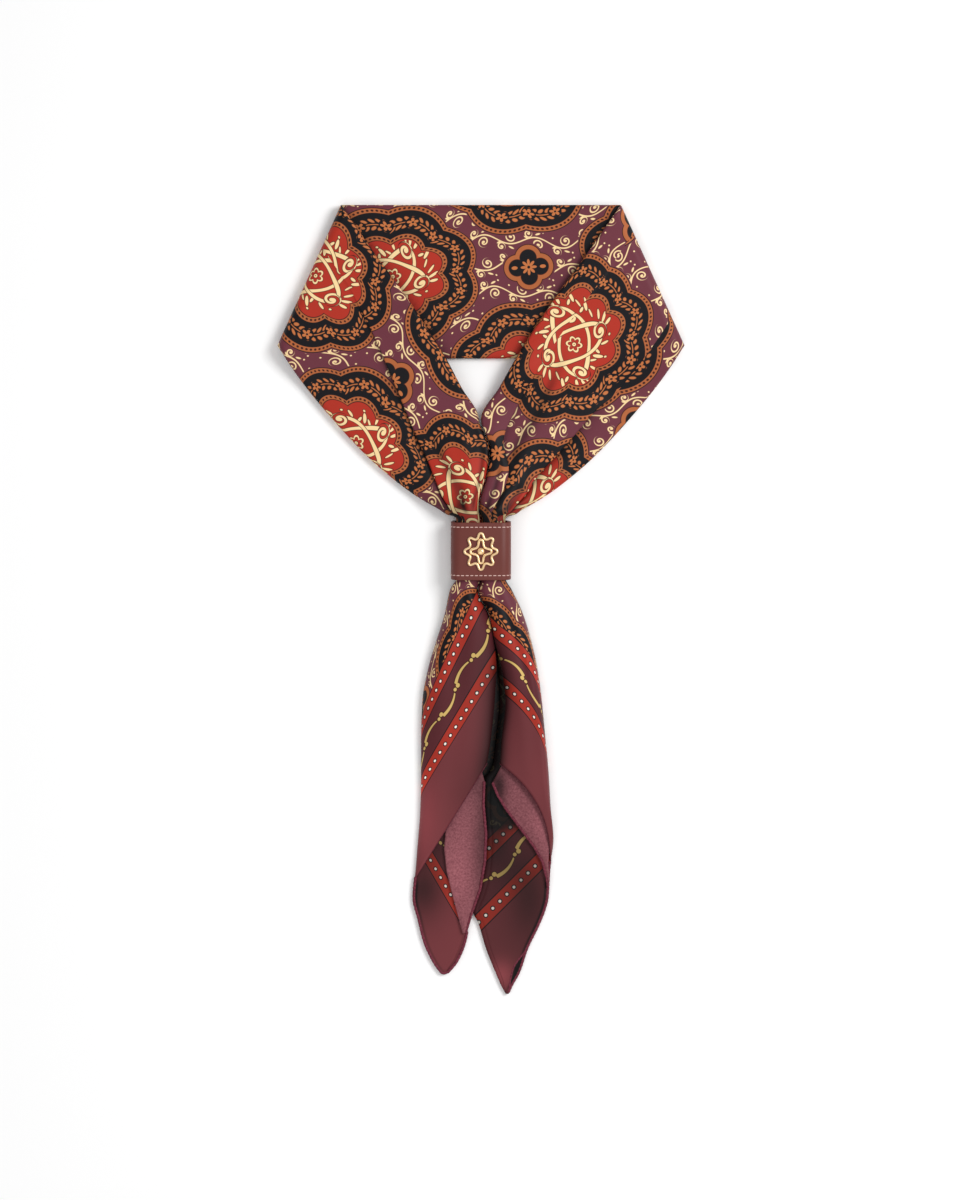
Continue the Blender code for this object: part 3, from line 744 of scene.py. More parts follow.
band = {
    "top": 211.8, "topHalf": 75.0, "cornerHalf": 109.2, "cornerY": 136.2, "width": 82.5,
    "loft": 4.8, "layers": 4, "groove": 0.75, "round": 1.2, "lift": 5.3, "endInset": 8.0,
    "lowRise": 8.5, "riseFrom": 35.0, "riseOver": 50.0,     # the nape's low edge goes up outwards
    "underSlope": 0.675, "underGap": 0.35,      # the nape's corners stay inside the mitre folds
    "mitreRound": 5.1, "mitreFoot": 6.0, "mitreLean": 0.848, "mitreWay": (0.911, 0.412),
    "halfDiagonal": 495.0,
}


def edgeProfile(rounding, groove):
    # a folded edge from its end: share of the height, and inset; each layer bulges
    profile = []
    steps = band["layers"] * 6
    for k in range(steps + 1):
        share = k / steps
        bow = rounding * (1.0 - math.sqrt(max(0.0, 1.0 - (2.0 * share - 1.0) ** 2)))
        bulge = abs(math.sin(math.pi * band["layers"] * share)) ** 0.6
        ends = 0.0 if k in (0, steps) else 1.0
        profile.append((share, bow + groove * (1.0 - bulge) * ends))
    return profile


def napeLow(x):
    low = band["top"] - band["width"]
    return low + band["lowRise"] * smooth((abs(x) - band["riseFrom"]) / band["riseOver"])


def planar(turn, alongShift, acrossShift):
    # the print laid flat over a panel, turned and shifted as its fold leaves it
    cosine, sine = math.cos(math.radians(turn)), math.sin(math.radians(turn))
    middle = band["halfDiagonal"] + alongShift

    def uvAt(x, y):
        return cutPlace(middle + x * cosine + y * sine, acrossShift - x * sine + y * cosine)
    return uvAt


def swung(place, pivot, turn):
    # a panel's print swings about the place where its tuck starts
    cosine, sine = math.cos(math.radians(turn)), math.sin(math.radians(turn))

    def uvAt(x, y):
        x, y = x - pivot[0], y - pivot[1]
        return place(pivot[0] + x * cosine - y * sine, pivot[1] + x * sine + y * cosine)
    return uvAt


nape = {
    "stations": 90, "columns": 30, "underColumns": 8, "print": (4.0, -22.0, -176.0), "ripple": 0.10,
    "rippleTurn": 0.085, "shadeWidth": 1.5, "shade": 0.42,
}


def napePaintedShadow(x, y):
    # painted shadow: the nape is darker close to the side stretches that lie over it
    edgeX = readRows([(row[2], row[1]) for row in sideRows[:7]], y)[0]
    away = abs(abs(x) - edgeX) * 0.83       # square to the slanting edge
    return nape["shade"] * math.exp(-away / nape["shadeWidth"])


def buildNape():
    slope = (band["cornerHalf"] - band["topHalf"]) / (band["top"] - band["cornerY"])
    insetX = band["endInset"] * math.hypot(1.0, slope)
    edge = edgeProfile(band["round"], band["groove"])
    loft, columns = band["loft"], nape["columns"]
    rings = []
    for k in range(nape["stations"] + 1):
        t = 2.0 * k / nape["stations"] - 1.0
        low = napeLow(t * (band["cornerHalf"] - band["endInset"]))
        width = band["top"] - low
        section = [(inset, share * loft, inset - (1.0 - share) * loft) for share, inset in edge]
        for c in range(1, columns):
            across = blend(band["round"], width - band["round"], c / columns)
            ripple = nape["ripple"] * math.sin(nape["rippleTurn"] * (t * 100.0 + across))
            section.append((across, loft + ripple * math.sin(math.pi * c / columns), across))
        section += [(width - inset, share * loft, width - inset + (1.0 - share) * loft)
                    for share, inset in reversed(edge)]
        for c in range(1, nape["underColumns"]):
            across = blend(width - band["round"], band["round"], c / nape["underColumns"])
            section.append((across, 0.0, across))
        ring = []
        for across, height, printed in section:
            y = low + across
            down = band["top"] - y
            half = max(band["topHalf"] + down * slope - insetX,
                       band["topHalf"] - down * band["underSlope"] - band["underGap"])
            x = t * half
            ring.append((x, y, height, napePaintedShadow(x, y), x, low + printed))
        rings.append(ring)
    place = planar(*nape["print"])
    return loftCloth("napeBand", rings, [0] * len(rings[0]), lambda panel, x, y: place(x, y), faceSilk)


# along, inner x, inner y, outer x, outer y, lean of the seam, loft
sideRows = (
    (0.0, 75.00, 211.8, 109.2, 136.2, 0.0, 4.8),
    (14.5, 66.90, 199.8, 101.4, 124.1, 0.0, 4.8),
    (33.6, 53.00, 180.0, 93.0, 112.6, 0.0, 4.8),
    (52.4, 40.00, 162.3, 83.0, 100.5, 0.0, 4.7),
    (71.7, 28.50, 145.0, 71.0, 87.0, 0.0, 4.6),
    (89.0, 19.20, 130.0, 59.0, 74.8, 0.0, 4.6),
    (105.5, 10.00, 113.5, 48.0, 65.3, -0.3, 4.8),
    (121.2, 0.60, 97.0, 37.5, 57.3, -0.6, 5.2),
    (134.2, 0.15, 80.0, 29.0, 51.9, 4.9, 6.2),
    (143.5, 0.15, 66.0, 22.5, 48.2, 3.0, 7.2),
    (151.0, 0.15, 54.0, 18.0, 45.3, -0.6, 8.2),
    (157.0, 0.15, 47.5, 15.0, 44.6, -1.1, 9.0),
    (162.0, 0.15, 42.8, 13.2, 42.8, 0.0, 9.6),
    (177.0, 0.15, 26.15, 13.2, 26.15, 0.0, 9.6),
)
# along, crown of a panel, round of the outer edge, of the inner edge, groove
roundRows = (
    (0.0, 0.0, 1.2, 1.2, 0.75),
    (60.0, 0.3, 1.2, 1.2, 0.75),
    (121.0, 1.0, 1.6, 1.6, 0.65),
    (151.0, 1.0, 3.0, 2.4, 0.45),
    (162.0, 0.3, 5.2, 3.0, 0.2),
    (177.0, 0.2, 5.2, 3.0, 0.1),
)
leftSide = {
    "name": "leftSide", "node": "left_stretch", "side": -1,
    # along, place across (0 at the inner edge), height of the step
    "tucks": (
        ((25.0, 0.30, 0.0), (52.4, 0.38, 1.2), (89.0, 0.53, 2.2), (121.2, 0.70, 2.6),
         (143.5, 0.84, 2.2), (151.0, 0.85, 1.6), (160.0, 0.75, 0.0)),
    ),
    # the creases: places along and across, width in mm, height in mm
    "creases": (
        (((112.0, 0.22), (140.0, 0.34), (158.0, 0.40)), 3.2, 0.7),
        (((96.0, 0.46), (130.0, 0.56), (156.0, 0.62)), 3.6, -0.6),
        (((70.0, 0.88), (120.0, 0.90), (150.0, 0.95)), 4.0, 0.35),
        (((120.0, 0.06), (140.0, 0.14), (158.0, 0.20)), 2.4, -0.5),
        (((132.0, 0.52), (146.0, 0.50), (160.0, 0.46)), 2.2, -0.9),
        (((138.0, 0.74), (150.0, 0.66), (161.0, 0.60)), 2.0, 0.8),
    ),
    "print": (-58.0, -6.0, -22.0), "swings": (((-70.6, 167.7), -19.0),),
}
rightSide = {
    "name": "rightSide", "node": "right_stretch", "side": 1,
    "tucks": (
        ((78.0, 0.20, 0.0), (105.5, 0.24, 1.0), (121.2, 0.32, 1.2), (143.5, 0.45, 0.8), (160.0, 0.40, 0.0)),
        ((58.0, 0.80, 0.0), (71.7, 0.765, 1.2), (105.5, 0.78, 1.8), (134.2, 0.82, 1.8),
         (151.0, 0.86, 1.4), (160.0, 0.75, 0.0)),
    ),
    "creases": (
        (((96.0, 0.52), (130.0, 0.58), (157.0, 0.60)), 3.4, 0.6),
        (((120.0, 0.68), (140.0, 0.72), (156.0, 0.74)), 2.6, -0.55),
        (((60.0, 0.30), (100.0, 0.42), (130.0, 0.50)), 4.0, -0.3),
        (((130.0, 0.22), (146.0, 0.26), (160.0, 0.26)), 2.2, -0.9),
        (((134.0, 0.46), (148.0, 0.50), (160.0, 0.52)), 2.0, 0.8),
    ),
    "print": (58.0, 18.0, 22.0), "swings": (((33.6, 128.6), 14.0), ((71.3, 109.0), 16.0)),
}


# how both side stretches lie; mm, and shares of painted shade
sideLay = {
    "climbFrom": 27.0, "climbOver": 24.0,       # below the nape's low edge
    "ringLift": 2.9, "ringFrom": 58.0, "ringOver": 14.0,
    "ringDark": 0.5, "darkFrom": 57.0, "darkOver": 13.0,
    "step": 2.2, "panelColumns": 26, "underColumns": 8,
    "tuckShade": (0.75, 0.42, 2.2),     # at most, for each mm of step, width
    "lipShade": (0.6, 0.3),
    "creaseFade": 0.45, "creaseEnd": 8.0, "creaseDark": 0.55,
}


def sideBase(x, y):
    overNape = band["lift"] * smooth((y - napeLow(x) + sideLay["climbFrom"]) / sideLay["climbOver"])
    return overNape + sideLay["ringLift"] * smooth((sideLay["ringFrom"] - y) / sideLay["ringOver"])


def sideStations():
    perInset = 1.0 / band["mitreLean"]      # the stretch leaves its mitre fold aslant
    stations = []
    for degrees in range(9, 91, 9):
        angle = math.radians(degrees)
        stations.append((band["mitreRound"] * (1.0 - math.cos(angle)) * perInset, math.sin(angle), True))
    stations.append((band["mitreFoot"] * perInset, 1.0, True))
    for along in finer([(band["mitreFoot"] + 0.4) * perInset, 14.5, 121.2, 162.0, 177.0], sideLay["step"]):
        stations.append((along, 1.0, False))
    return stations


def lineAt(path, place):
    # a straight-sided look-up: value across at a place along, or None beyond the ends
    for (startAt, start), (endAt, end) in zip(path, path[1:]):
        if startAt <= place <= endAt:
            return blend(start, end, (place - startAt) / (endAt - startAt))
    return None


def creaseLift(creases, along, share, width):
    lift, dark = 0.0, 0.0
    for path, breadth, height in creases:
        middle = lineAt(path, along)
        if middle is None:
            continue
        first, last = path[0][0], path[-1][0]
        fade = smooth((along - first) / (sideLay["creaseFade"] * (last - first)))
        fade *= smooth((last - along) / sideLay["creaseEnd"])
        away = (share - middle) * width / breadth
        lift += height * fade * math.exp(-away * away)
        # painted shade along the valley of a sunken crease
        if height < 0.0:
            dark += sideLay["creaseDark"] * fade * math.exp(-(away * 1.5) ** 2)
    return lift, dark


def sideColumns(spec, along, crown, edgeIn, edgeOut, width):
    # across the top: share of the width, height added, panel; each panel's fold overhangs the next
    places, steps = [], []
    for tuck in spec["tucks"]:
        place, step = readRows(tuck, along)
        places.append(place * width)
        steps.append(max(step, 0.06))
    starts = [edgeIn] + [place - 0.15 * step for place, step in zip(places, steps)]
    ends = [place - step / 2.0 for place, step in zip(places, steps)] + [width - edgeOut]
    columns = []
    most, each, breadth = sideLay["tuckShade"]
    lipMost, lipEach = sideLay["lipShade"]
    count = sideLay["panelColumns"]
    for panel, (start, end) in enumerate(zip(starts, ends)):
        level = sum(steps[panel:])
        for k in range(count + 1):
            share = k / count
            across = blend(start, end, share)
            settle = smooth(min(share, 1.0 - share) / 0.12)
            lift, dark = creaseLift(spec["creases"], along, across / width, width)
            if panel > 0:       # the shadow beside the fold that lies over this panel
                dark += min(most, each * steps[panel - 1]) * math.exp(-(across - start) / breadth)
            height = level + crown * math.sin(math.pi * share) + lift * settle
            columns.append((across / width, height, panel, dark))
        if panel < len(steps):      # round the fold's lip
            radius = steps[panel] / 2.0
            # with painted shade under the lip
            for degrees in range(65, -61, -25):
                angle = math.radians(degrees)
                columns.append(((end + radius * math.cos(angle)) / width,
                                level - radius + radius * math.sin(angle), panel,
                                min(lipMost, lipEach * steps[panel]) * (1.0 - math.sin(angle)) / 2.0))
    return columns


def buildSide(spec):
    side = spec["side"]
    rings, panels = [], []
    for along, swell, onTable in sideStations():
        innerX, innerY, outerX, outerY, lean, height = readRows(sideRows, along)
        crown, roundOut, roundIn, groove = readRows(roundRows, along)
        inner = Vector((side * innerX + lean, innerY))
        outer = Vector((side * outerX, outerY))
        width = (outer - inner).length
        across = (outer - inner).normalized()

        def point(share, zShare, extra, away=0.0, dark=0.0):
            spot = inner.lerp(outer, share)
            base = sideBase(spot.x, spot.y)
            low, high = base, base + height + extra
            printed = spot + across * away
            if onTable:
                low = blend(band["mitreRound"], 0.0, swell)
                high = blend(band["mitreRound"], band["lift"] + height + extra, swell)
                # the print runs round the mitre fold, on to its underside
                turn = math.asin(swell)
                past = math.pi / 2.0 - math.cos(turn) + blend(turn, -turn, zShare)
                wayX, wayY = band["mitreWay"]
                printed += Vector((side * wayX, wayY)) * band["mitreRound"] * past
            # painted shade: darker just above the ring, on top of the crease and tuck shade
            deep = dark + sideLay["ringDark"] * smooth((sideLay["darkFrom"] - spot.y) / sideLay["darkOver"])
            return (spot.x, spot.y, blend(low, high, zShare), deep, printed.x, printed.y)

        columns = sideColumns(spec, along, crown, roundIn, roundOut, width)
        ring, panels = [], []
        for share, inset in edgeProfile(roundIn, groove)[:-1]:
            ring.append(point(inset / width, share, columns[0][1], -(1.0 - share) * height))
            panels.append(0)
        for share, extra, panel, dark in columns:
            ring.append(point(share, 1.0, extra, 0.0, dark))
            panels.append(panel)
        for share, inset in reversed(edgeProfile(roundOut, groove)[:-1]):
            ring.append(point(1.0 - inset / width, share, columns[-1][1], (1.0 - share) * height))
            panels.append(len(spec["tucks"]))
        for k in range(1, sideLay["underColumns"]):
            share = blend(1.0 - roundOut / width, roundIn / width, k / sideLay["underColumns"])
            ring.append(point(share, 0.0, 0.0))
            panels.append(len(spec["tucks"]))
        rings.append(ring)
    places = [planar(*spec["print"])]
    for pivot, turn in spec["swings"]:
        places.append(swung(places[-1], pivot, turn))
    return loftCloth(spec["name"], rings, panels, lambda panel, x, y: places[panel](x, y), faceSilk)


# the tails. y, left outline, right outline, height of the arched front layer
leftTail = (
    (25.85, -13.40, -0.15, 12.6), (11.0, -13.40, -0.15, 12.6), (5.5, -16.50, -1.85, 12.0),
    (-8.0, -19.50, 3.90, 11.4), (-22.0, -23.90, 7.00, 10.8), (-36.0, -28.10, 8.40, 10.2),
    (-55.0, -31.50, 7.50, 9.4), (-75.0, -32.20, 5.40, 8.6), (-96.0, -32.20, 2.30, 7.8),
    (-115.0, -32.70, 1.60, 7.0), (-129.0, -33.80, 3.10, 6.5), (-145.0, -35.10, 2.10, 5.8),
    (-160.0, -36.40, -1.80, 5.0), (-172.0, -33.70, -5.80, 4.5), (-184.0, -30.60, -8.30, 4.0),
    (-194.0, -26.00, -12.40, 3.5), (-199.0, -22.60, -16.30, 3.0), (-201.2, -20.20, -18.60, 3.0),
)
rightTail = (
    (25.85, 0.15, 13.40, 12.6), (11.0, 0.15, 13.40, 12.6), (5.5, -1.55, 16.40, 12.2),
    (-8.0, 4.20, 22.70, 11.8), (-22.0, 7.30, 27.00, 11.2), (-36.0, 10.70, 30.20, 10.6),
    (-55.0, 13.00, 32.80, 9.8), (-75.0, 11.00, 34.70, 9.0), (-88.0, 10.00, 36.00, 8.4),
    (-98.0, 2.80, 36.70, 8.0), (-112.0, 2.20, 37.50, 7.2), (-129.0, 3.50, 39.00, 6.4),
    (-145.0, 2.50, 36.90, 5.8), (-160.0, -1.40, 36.00, 5.0), (-166.5, -4.00, 34.40, 4.6),
    (-175.0, -1.00, 31.00, 4.0), (-187.5, 2.70, 25.00, 3.6), (-200.0, 7.70, 20.70, 3.2),
    (-208.0, 11.20, 16.40, 3.0), (-211.8, 13.30, 14.90, 3.0),
)
# rows of a front layer: y on the left outline, y on the right; the last one is the hem
leftFrontRows = (
    (25.85, 25.85), (11.0, 11.0), (5.5, 5.5), (-2.0, -1.0), (-12.0, -8.0), (-28.0, -19.0),
    (-46.0, -31.0), (-66.0, -44.0), (-86.0, -56.0), (-107.0, -67.0), (-129.0, -78.0), (-150.0, -87.6),
)
rightFrontRows = (
    (25.85, 25.85), (11.0, 11.0), (5.5, 5.5), (-1.0, -2.0), (-8.0, -12.0), (-19.0, -27.0),
    (-31.0, -44.0), (-44.0, -63.0), (-56.0, -83.0), (-67.0, -103.0), (-78.0, -123.0), (-88.0, -141.0),
)
# rows of a flap: left x, left y, right x, right y
leftFlapRows = (
    (-11.0, -99.0, -0.6, -88.5), (-17.3, -112.5, 2.0, -97.5), (-19.0, -123.0, 1.6, -110.0),
    (-19.8, -134.0, 3.0, -126.0), (-18.4, -146.0, 2.4, -140.5), (-15.5, -158.0, -0.2, -155.6),
    (-12.3, -170.0, -4.8, -168.6), (-9.8, -179.2, -7.9, -178.8),
)
rightFlapRows = (
    (6.2, -98.2, 13.0, -85.5), (9.0, -104.9, 19.5, -90.5), (13.2, -112.0, 25.0, -96.5),
    (18.4, -119.0, 30.2, -104.0), (23.6, -126.0, 34.6, -112.5), (28.8, -133.0, 36.4, -121.5),
    (33.0, -140.6, 37.0, -131.5), (35.4, -149.6, 36.2, -141.0), (36.0, -154.5, 36.4, -150.0),
)
tails = {
    "arch": 2.6, "backThick": 2.0, "frontWall": 1.2, "clearance": 0.9, "wall": 0.45,
    "overhang": 1.8, "crown": 1.0, "gap": 0.3, "foot": 2.9, "frontSqueeze": 4.0, "coreSqueeze": 1.6,
    "columns": 44, "coreColumns": 30, "flapColumns": 24, "seamHeight": 4.4, "foldSpan": 34.0,
    "leftBow": 0.0, "rightBow": 8.0,
}


def tailFoot(y):
    return tails["foot"] * smooth((y + 6.0) / 15.5)


def ringSqueeze(y):
    return smooth((y + 2.0) / 11.0)


def seamEdge(y):
    raised = blend(tails["backThick"] + tails["gap"], tails["seamHeight"], smooth((-60.0 - y) / 26.0))
    return blend(tailFoot(y), raised, smooth((4.0 - y) / 24.0))


def frontSpot(tail, row, bend, share):
    leftY, rightY = row
    start = Vector((readRows(tail, leftY)[0], leftY))
    end = Vector((readRows(tail, rightY)[1], rightY))
    away = Vector((end.y - start.y, start.x - end.x)).normalized()
    if away.y < 0.0:
        away.negate()
    return start.lerp(end, share) + away * bend * 4.0 * share * (1.0 - share)


def fineRows(rows, parts):
    result = []
    for start, end in zip(rows, rows[1:]):
        for k in range(parts):
            result.append(tuple(blend(a, b, k / parts) for a, b in zip(start, end)))
    result.append(rows[-1])
    return result


def hemLine(tail, rows, bow):
    # the hem in plan, as a table of x and y
    line = []
    for k in range(13):
        spot = frontSpot(tail, rows[-1], bow, k / 12.0)
        if not line or spot.x > line[-1][0] + 0.5:
            line.append((spot.x, spot.y))
    return line


# soft folds of a front layer: places down and across, width in mm, height in mm
leftFrontFolds = (
    (((-60.0, 0.40), (-12.0, 0.46), (8.0, 0.50)), 3.4, -0.8),
    (((-96.0, 0.62), (-40.0, 0.66), (4.0, 0.72)), 4.4, 0.5),
    (((-140.0, 0.30), (-80.0, 0.26), (-30.0, 0.24)), 5.0, 0.45),
)
rightFrontFolds = (
    (((-56.0, 0.58), (-14.0, 0.52), (8.0, 0.48)), 3.2, -0.8),
    (((-100.0, 0.30), (-50.0, 0.26), (2.0, 0.22)), 4.0, 0.5),
    (((-128.0, 0.70), (-84.0, 0.74), (-30.0, 0.78)), 5.0, 0.4),
)


def frontSurface(side, tail, folds, row, bend, angle):
    across, rise = squaredArch(angle, tails["arch"])
    share = (across + 1.0) / 2.0
    spot = frontSpot(tail, row, bend, share)
    height = readRows(tail, spot.y)[2]
    toSeam = share if side < 0 else 1.0 - share
    outerFoot = tailFoot(spot.y) + tails["frontSqueeze"] * ringSqueeze(spot.y)
    foot = blend(outerFoot, seamEdge(spot.y), toSeam)
    lift = 0.0
    for path, breadth, tall in folds:
        middle = lineAt(path, spot.y)
        if middle is not None:
            first, last = path[0][0], path[-1][0]
            fade = smooth((spot.y - first) / 20.0) * smooth((last - spot.y) / 6.0)
            lift += tall * fade * math.exp(-((share - middle) * tails["foldSpan"] / breadth) ** 2)
    return (spot.x, spot.y, blend(foot, height, rise) + lift * smooth(rise * 1.4 - 0.4))


# the border on a front layer: the way its stripes run, how far up the two stripes lie (the second
# one nearer by lean at the outer side), where the outer side turns down and how the print climbs
# there, and how it drops past the seam
frontPrint = {
    -1: {"run": (0.545, 0.839), "first": 46.0, "second": 94.0, "lean": 0.46,
         "outer": -35.0, "climb": 1.6, "drop": 1.54},
    1: {"run": (-0.707, 0.707), "first": 43.7, "second": 69.6, "lean": 0.0,
        "outer": 33.5, "climb": 2.2, "drop": 0.95},
}


def buildFront(name, side, tail, rows, folds, bow):
    hemRows = hemLine(tail, rows, bow)
    columns = tails["columns"]
    grid = []
    fine = fineRows(rows, 7)
    for k, row in enumerate(fine):
        bend = bow * (k / (len(fine) - 1)) ** 2
        line = [Vector(frontSurface(side, tail, folds, row, bend, math.pi * c / columns))
                for c in range(columns + 1)]
        # from the middle out the print follows the cloth's own length
        printed = [tuple(point.xy) for point in line]
        half = columns // 2
        order = range(half - 1, -1, -1) if side < 0 else range(half + 1, columns + 1)
        extra = 0.0
        for c in order:
            before = c + 1 if side < 0 else c - 1
            extra += (line[c] - line[before]).length - (line[c] - line[before]).xy.length
            printed[c] = (line[c].x + side * extra, line[c].y)
        grid.append([(*point, *place) for point, place in zip(line, printed)])
    spec = frontPrint[side]
    seamX = hemRows[-1][0] if side < 0 else hemRows[0][0]

    def uvAt(x, y):
        # the stripes keep their distance up from the hem, and the line of the hem goes on past its ends
        past = max(0.0, (seamX - x) * side)
        beyond = max(0.0, (x - spec["outer"]) * side)
        up = y - readRows(hemRows, x - side * beyond)[0] + beyond * spec["climb"] - past * spec["drop"]
        first, second = spec["first"], spec["second"] + spec["lean"] * min(x, 0.0)
        deep = border["firstStripe"] * up / first
        if up >= first:
            stripes = border["secondStripe"] - border["firstStripe"]
            deep = border["firstStripe"] + stripes * (up - first) / (second - first)
        return (deep * mm, (printStart + x * spec["run"][0] + y * spec["run"][1]) * mm)

    shadeAt = shades["leftFront" if side < 0 else "rightFront"]
    paintedShadeAt = seamPaintedShade(tail, side, shadeAt)
    return sheetCloth(name, grid, uvAt, tails["wall"], [faceSilk, paleSilk], paintedShadeAt), grid[-1]


def backStations(tail, coveredTo):
    last = tail[-1][0]
    stations = [25.85, 10.2, 5.5, -0.5, -8.0]
    while stations[-1] > last + 14.0:
        stations.append(stations[-1] - 9.0)
    stations += [coveredTo, coveredTo - 8.0, last + 7.0, last + 3.0, last]
    stations.sort(reverse=True)
    return [y for k, y in enumerate(stations) if k == 0 or stations[k - 1] - y > 1.0]


def buildBack(name, side, tail, otherTail, rows, bow, uvAt, paintedShadeAt):
    inset = tails["frontWall"] + tails["clearance"]
    hemRows = hemLine(tail, rows, bow)
    coveredTo = rows[-1][0 if side < 0 else 1] - 2.0
    split = rows[-1][1 if side < 0 else 0] - 6.0
    coreColumns = tails["coreColumns"]
    rings = []
    for y in finer(backStations(tail, coveredTo), 2.4):
        left, right, height = readRows(tail, y)
        outer, seam, otherSeam = left, right, readRows(otherTail, y)[0]
        if side > 0:
            outer, seam, otherSeam = right, left, readRows(otherTail, y)[1]
        foot = tailFoot(y)
        # the outer side steps in under the front layer, a little at the hem and all of it further up
        outer -= side * (0.3 * smooth((y - coveredTo) / 2.0)
                         + (inset - 0.3) * smooth((y - coveredTo - 6.0) / 4.0))
        shelf = (seam + otherSeam) / 2.0 - (0.0 if side < 0 else 0.3)
        if y < split and side < 0:
            shelf = seam - tails["overhang"] * smooth((y + 184.0) / 12.0)
        elif y < split:     # the right tail goes on under the left one
            under = min(seam - 1.4, otherSeam - tails["overhang"] - 0.4)
            shelf = blend(seam, under, smooth((y + 172.0) / 12.0))
        shelf = blend(seam + side * inset, shelf, smooth((-7.0 - y) / 8.0))
        coreSeam = seam + side * min(inset, 0.25 * abs(seam - outer))
        if (coreSeam - shelf) * side < 0.2:
            coreSeam = shelf + side * 0.2
        shelfHeight = min(max(seamEdge(y) - foot - tails["gap"], 0.3), 0.8 * tails["backThick"])
        ring = []
        for column in range(coreColumns + 1):
            across, rise = squaredArch(math.pi * column / coreColumns, tails["arch"])
            x = blend(outer, coreSeam, (across + 1.0) / 2.0)
            beyond = smooth((readRows(hemRows, x)[0] + 32.0 - y) / 15.0)
            thick = max(height - foot - inset, 1.0) * rise
            thin = tails["backThick"] * min(1.0, 0.45 + rise)
            least = shelfHeight if column > coreColumns / 2 else 0.5
            lift = tails["coreSqueeze"] * ringSqueeze(y) if column == 0 else 0.0
            ring.append((x, y, foot + lift + max(blend(thick, thin, beyond), least), paintedShadeAt(x, y), x, y))
        ring.append((shelf, y, foot + shelfHeight, paintedShadeAt(shelf, y), shelf, y))
        for column in range(7):
            lift = tails["coreSqueeze"] * ringSqueeze(y) if column == 6 else 0.0
            x = blend(shelf, outer, column / 6.0)
            ring.append((x, y, foot + lift, 0.0, x, y))
        rings.append(ring)
    return loftCloth(name, rings, [0] * len(rings[0]), lambda panel, x, y: uvAt(x, y), shadedInnerSilk)


def leftBackPrint(x, y):
    deep = 38.0 + 1.3 * (0.864 * x + 0.503 * y + 93.9)
    return (deep * mm, (printStart - 0.503 * x + 0.864 * y) * mm)


def rightBackPrint(x, y):
    deep = ((y + 211.9) - (x - 14.2)) / root2
    return (deep * mm, (printStart + (y + x) / root2) * mm)


def pooled(spots, base=0.0):
    # the painted shade at a place, painted light where below nought: each spot is x, y, half width, half
    # height in mm, and how dark
    def shadeAt(x, y):
        return base + sum(dark * math.exp(-((x - atX) / wide) ** 2 - ((y - atY) / tall) ** 2)
                          for atX, atY, wide, tall, dark in spots)
    return shadeAt


# painted shade for each piece, in pools; a pool below nought is painted light, as of sheen
shades = {
    "leftFront": pooled(((-32.0, -116.0, 9.0, 24.0, -0.80), (-16.0, -60.0, 7.0, 22.0, -0.12),
                         (-10.0, -104.0, 6.0, 12.0, 0.12))),
    "rightFront": pooled(((31.0, -100.0, 6.0, 14.0, -0.10), (25.0, -42.0, 9.0, 14.0, -0.20),
                          (22.0, -64.0, 5.0, 20.0, 0.08))),
    "leftBack": pooled(((-31.0, -155.0, 13.0, 18.0, 0.86),), -0.14),
    "rightBack": pooled(((26.0, -162.0, 12.0, 22.0, 0.40), (10.6, -202.0, 7.0, 8.0, -0.98),
                         (7.0, -130.0, 10.0, 16.0, 0.42), (20.0, -146.0, 11.0, 12.0, 0.14)), 0.34),
    "leftFlap": pooled(((1.5, -130.0, 6.0, 40.0, 0.66), (-13.0, -148.0, 7.0, 18.0, -0.34),
                        (-4.0, -97.0, 8.0, 9.0, 0.25)), -0.10),
    "rightFlap": pooled(((33.0, -120.0, 6.0, 14.0, -0.36), (9.5, -100.0, 4.6, 11.0, 0.85),
                         (27.0, -131.0, 5.0, 6.0, 0.2))),
}
# the right tip's second fold, y and x
tipFold = ((-209.5, 15.1), (-208.6, 15.2), (-201.7, 16.3), (-197.1, 17.8), (-188.6, 24.0))


shadow = {
    "hem": 0.45, "hemAway": 1.7, "hemWidth": 0.6, "tipFold": 0.9,
    "seam": 0.85, "seamWidth": {-1: 6.5, 1: 3.4},       # on the left tail and on the right one
}


def hemShadow(tail, column, x, y, first):
    # the thin dark line beside a rolled hem, from a place down the tail
    away = abs(x - readRows(tail, y)[column]) - shadow["hemAway"]
    return shadow["hem"] * smooth((first - y) / 4.0) * math.exp(-(away / shadow["hemWidth"]) ** 2)


def leftBackPaintedShade(x, y):
    # darker up under the front, where no light comes in
    dark = shades["leftBack"](x, y) + 0.5 * smooth((y + 150.0) / 22.0) + 0.65 * smooth((y + 116.0) / 16.0)
    return dark + hemShadow(leftTail, 0, x, y, -150.0) + hemShadow(leftTail, 1, x, y, -178.0)


def rightBackPaintedShade(x, y):
    dark = shades["rightBack"](x, y) + 0.30 * smooth((y + 138.0) / 30.0) + 0.6 * smooth((y + 127.0) / 12.0)
    # painted shadow in the tip's second fold
    if y < tipFold[-1][0]:
        dark += shadow["tipFold"] * smooth((x - readRows(tipFold, y)[0]) / 0.8)
    return dark + hemShadow(rightTail, 1, x, y, -143.0)


def seamPaintedShade(tail, side, shadeAt):
    # painted shade: a front layer darkens towards the valley between the tails
    column, width = (1 if side < 0 else 0), shadow["seamWidth"][side]

    def paintedShadeAt(x, y):
        away = abs(x - readRows(tail, y)[column])
        return shadeAt(x, y) + shadow["seam"] * smooth((-14.0 - y) / 30.0) * math.exp(-(away / width) ** 1.5)
    return paintedShadeAt


